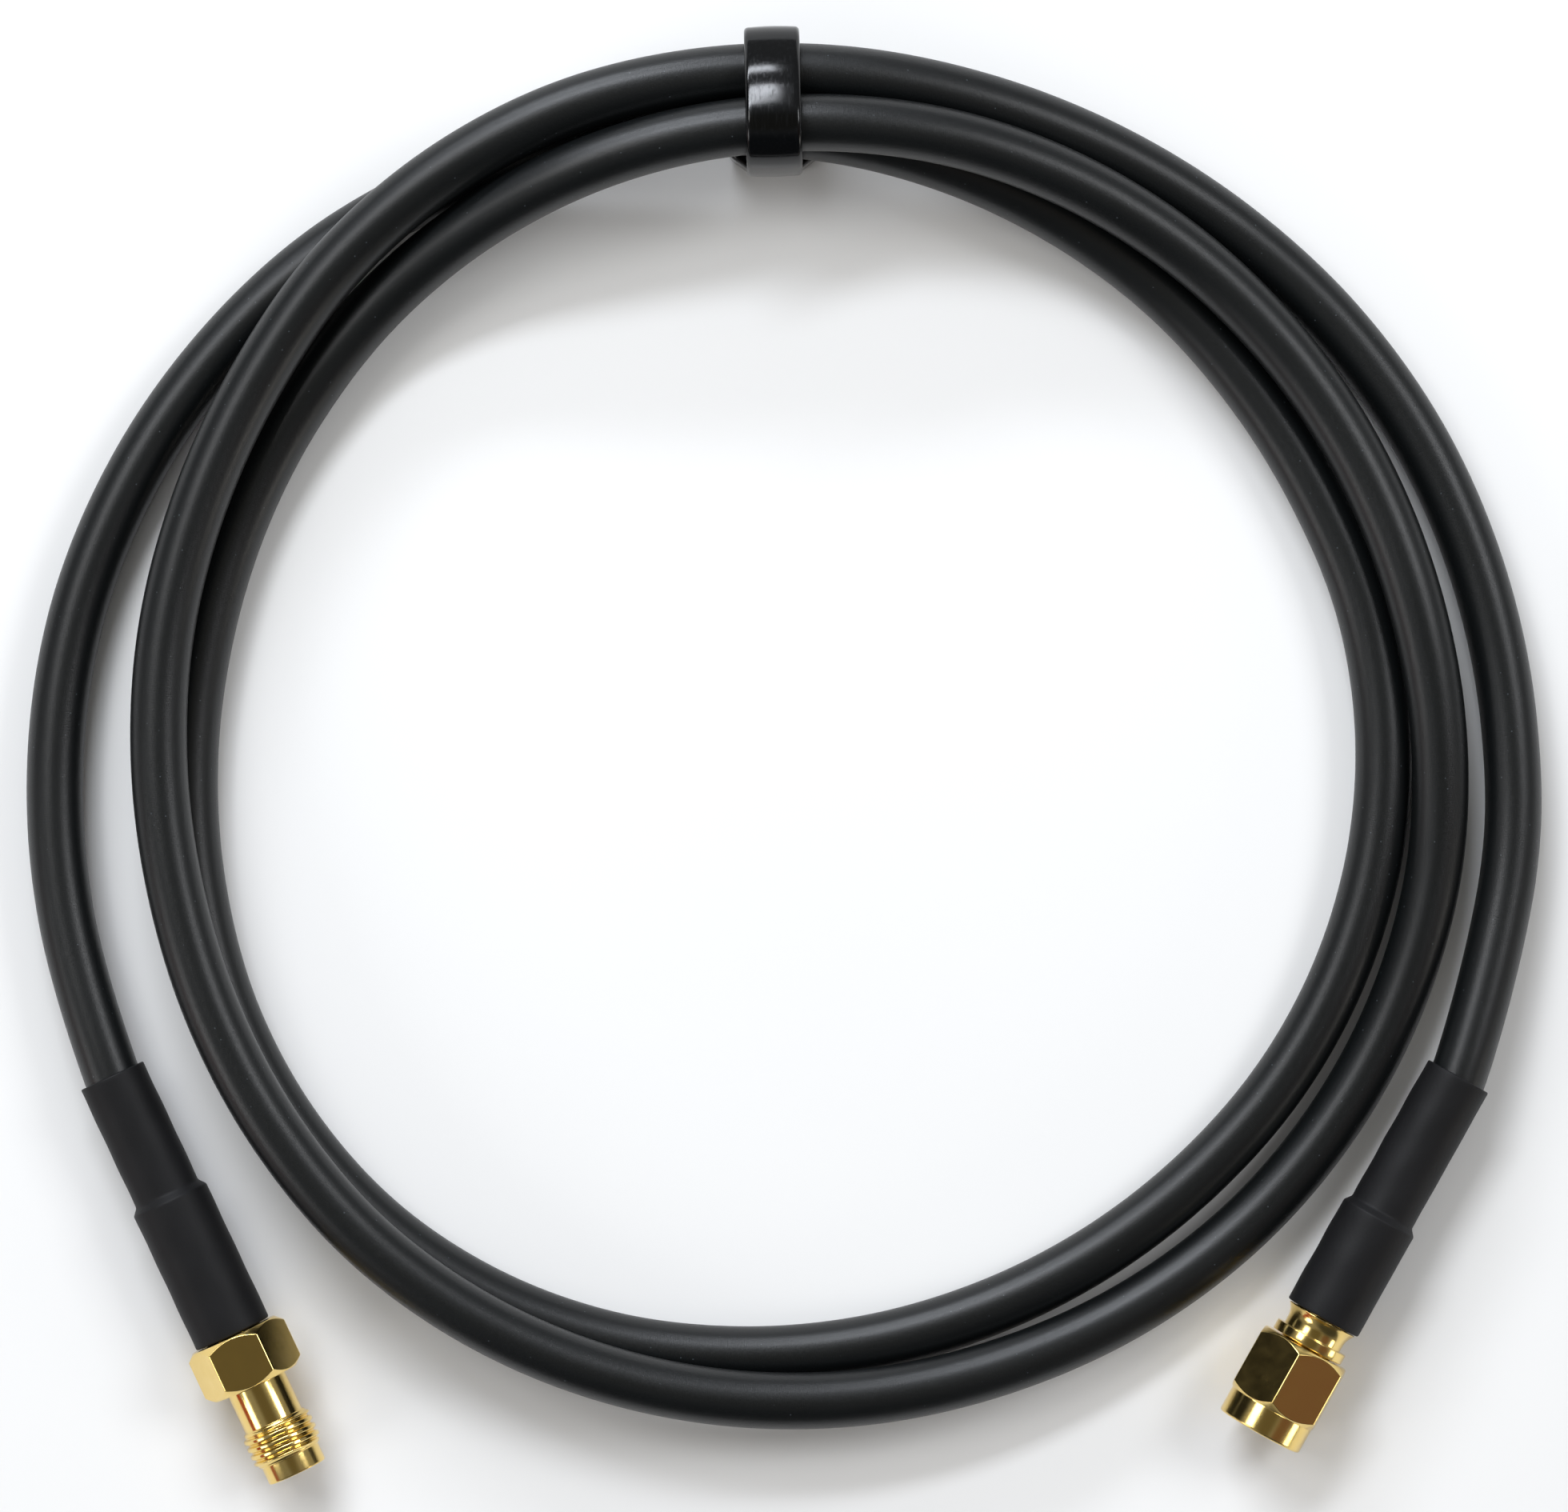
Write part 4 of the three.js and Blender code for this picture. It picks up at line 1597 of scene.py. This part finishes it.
    def build(self, finishes: Finishes) -> list[bpy.types.Object]:
        """Builds and dresses the plug's pieces.

        Args:
            finishes: The materials.

        Returns:
            The sleeve, the body, the nut, the insulator and the pin.
        """
        sleeve = self.sleeve.build("plug_sleeve", PLUG_FRAME.place)
        return [
            finishes.dress(sleeve, "shrink", "plug_heat_shrink"),
            finishes.dress(self.build_body(), "gold", "plug_body"),
            finishes.dress(self.build_nut(), "gold", "plug_coupling_nut", NUT),
            finishes.dress(self.build_insulator(), "insulator", "plug_dielectric"),
            finishes.dress(self.build_pin(), "gold", "plug_pin"),
        ]


# Camera, floor and light


def way_to(azimuth: float, elevation: float) -> tuple[float, float, float]:
    """The way from the coil towards an azimuth from +X and an elevation, in degrees."""
    a, e = math.radians(azimuth), math.radians(elevation)
    return math.cos(e) * math.cos(a), math.cos(e) * math.sin(a), math.sin(e)


@dataclass(frozen=True)
class Softbox:
    """A rectangular light that faces the coil, seen in what mirrors it or not."""

    name: str
    azimuth: float
    elevation: float
    width: float
    height: float
    power: float
    colour: str = "#FFFFFF"
    distance: float = 0.9
    mirrored: bool = True

    def build(self) -> None:
        """Hangs the light on its line from the coil and turns it to face the coil."""
        light = bpy.data.lights.new(self.name, "AREA")
        light.shape = "RECTANGLE"
        light.size, light.size_y = self.width, self.height
        light.energy = self.power
        light.color = srgb(self.colour)[:3]
        lamp = add_object(self.name, light)
        way = Vector(way_to(self.azimuth, self.elevation))
        lamp.location = way * self.distance
        lamp.rotation_euler = way.to_track_quat("Z", "Y").to_euler()
        lamp.visible_glossy = self.mirrored


@dataclass(frozen=True)
class RoomPatch:
    """A soft round patch of the room's walls with a colour of its own, as gold mirrors it."""

    azimuth: float
    elevation: float
    spread: float
    colour: str


@dataclass
class Studio:
    """The camera above the coil, the pale floor and the soft lights."""

    camera_height: float = 0.604
    camera_over: tuple[float, float] = (0.000145, 0.000287)
    frame_width: float = 0.13706
    frame_level: float = 4.0
    sensor: float = 36.0
    nearest: float = 0.01
    floor_size: float = 3.0
    floor_level: float = -0.03
    lights: tuple[Softbox, ...] = (
        Softbox("window_upper_pane", 110, 48, 0.45, 0.12, 4.1, "#F2F7FF"),
        Softbox("window_lower_pane", 108, 27, 0.5, 0.1, 3.2, "#F2F7FF"),
        Softbox("right_wall_light", 24, 46, 0.35, 0.3, 2.4, "#FAFCFF"),
        Softbox("left_ceiling_light", 150, 56, 0.3, 0.3, 1.5),
        Softbox("left_strip", 205, 28, 0.3, 0.34, 1.3),
        Softbox("right_low_strip", -29, 13, 0.25, 0.24, 0.75, "#FFF8EE"),
        Softbox("ceiling_fill", 90, 88, 2.4, 2.4, 4.0, distance=1.1, mirrored=False),
    )
    patches: tuple[RoomPatch, ...] = (
        RoomPatch(0, 90, 30, "#605A4B"),
        RoomPatch(-29, 46, 22, "#70584E"),
        RoomPatch(-90, 25, 50, "#3E4042"),
        RoomPatch(205, 5, 18, "#9A3A1E"),
        RoomPatch(150, 10, 26, "#1C1C1A"),
    )
    patch_core: float = 0.4
    wall: str = "#8C8C8C"

    def build_camera(self) -> None:
        """Sets the camera straight above the coil, with the photo's framing.

        The frame's width is that at the frame's level, where the jack's axis lies.
        """
        data = bpy.data.cameras.new("camera")
        data.sensor_width = self.sensor
        data.lens = self.sensor * (self.camera_height - self.frame_level * MM) / self.frame_width
        data.clip_start = self.nearest
        camera = add_object("camera", data)
        camera.location = (*self.camera_over, self.camera_height)
        bpy.context.scene.camera = camera

    def build_floor(self) -> None:
        """Lays the floor at the coil's foot, just clear of it."""
        half, z = self.floor_size / 2, self.floor_level * MM
        corners = [(-half, -half, z), (half, -half, z), (half, half, z), (-half, half, z)]
        mesh = bpy.data.meshes.new("floor")
        mesh.from_pydata(corners, [], [(0, 1, 2, 3)])
        mesh.materials.append(PaleFloor().material())
        floor = add_object("floor", mesh)

    def build_room(self) -> None:
        """Surrounds the coil with plain walls that have soft patches of other colours.

        A patch is whole in its middle and fades out smoothly up to its spread.
        """
        world = bpy.data.worlds.new("room")
        world.use_nodes = True
        tree = world.node_tree
        way = add_node(tree, NodeKind.PLACE, {}).outputs["Generated"]
        colour: Any = srgb(self.wall)
        for patch in self.patches:
            towards = {0: way, 1: way_to(patch.azimuth, patch.elevation)}
            near = add_node(tree, NodeKind.VECTOR_MATH, towards, operation="DOT_PRODUCT")
            edge = math.cos(math.radians(patch.spread))
            core = math.cos(math.radians(patch.spread * self.patch_core))
            share = add_node(
                tree,
                NodeKind.RANGE,
                {0: near.outputs["Value"], 1: edge, 2: core},
                interpolation_type="SMOOTHSTEP",
            )
            colours = {0: share.outputs[0], 6: colour, 7: srgb(patch.colour)}
            colour = add_node(tree, NodeKind.MIX, colours, data_type="RGBA").outputs[2]
        feed(tree.nodes["Background"], {0: colour})
        bpy.context.scene.world = world

    def build_light(self) -> None:
        """Hangs the softboxes and sets a plain colour transform."""
        for softbox in self.lights:
            softbox.build()
        bpy.context.scene.view_settings.view_transform = "Standard"


def main() -> None:
    """Builds the scene: camera and cable first, then the tie, both connectors and the studio."""
    logging.basicConfig(level=logging.INFO, format="%(message)s")
    studio = Studio()
    studio.build_camera()
    finishes = Finishes()
    route = CoilRoute()
    cable = CoaxCable(route)
    jacketed = finishes.dress(cable.build(), "jacket", "coax_cable")
    tie = CableTie(route).build(finishes)
    jack = Jack().build(finishes)
    plug = Plug().build(finishes)
    cable.declare()
    finishes.dress_ferrules()
    studio.build_floor()
    studio.build_room()
    studio.build_light()
    bpy.context.view_layer.update()


if __name__ == "__main__":
    main()
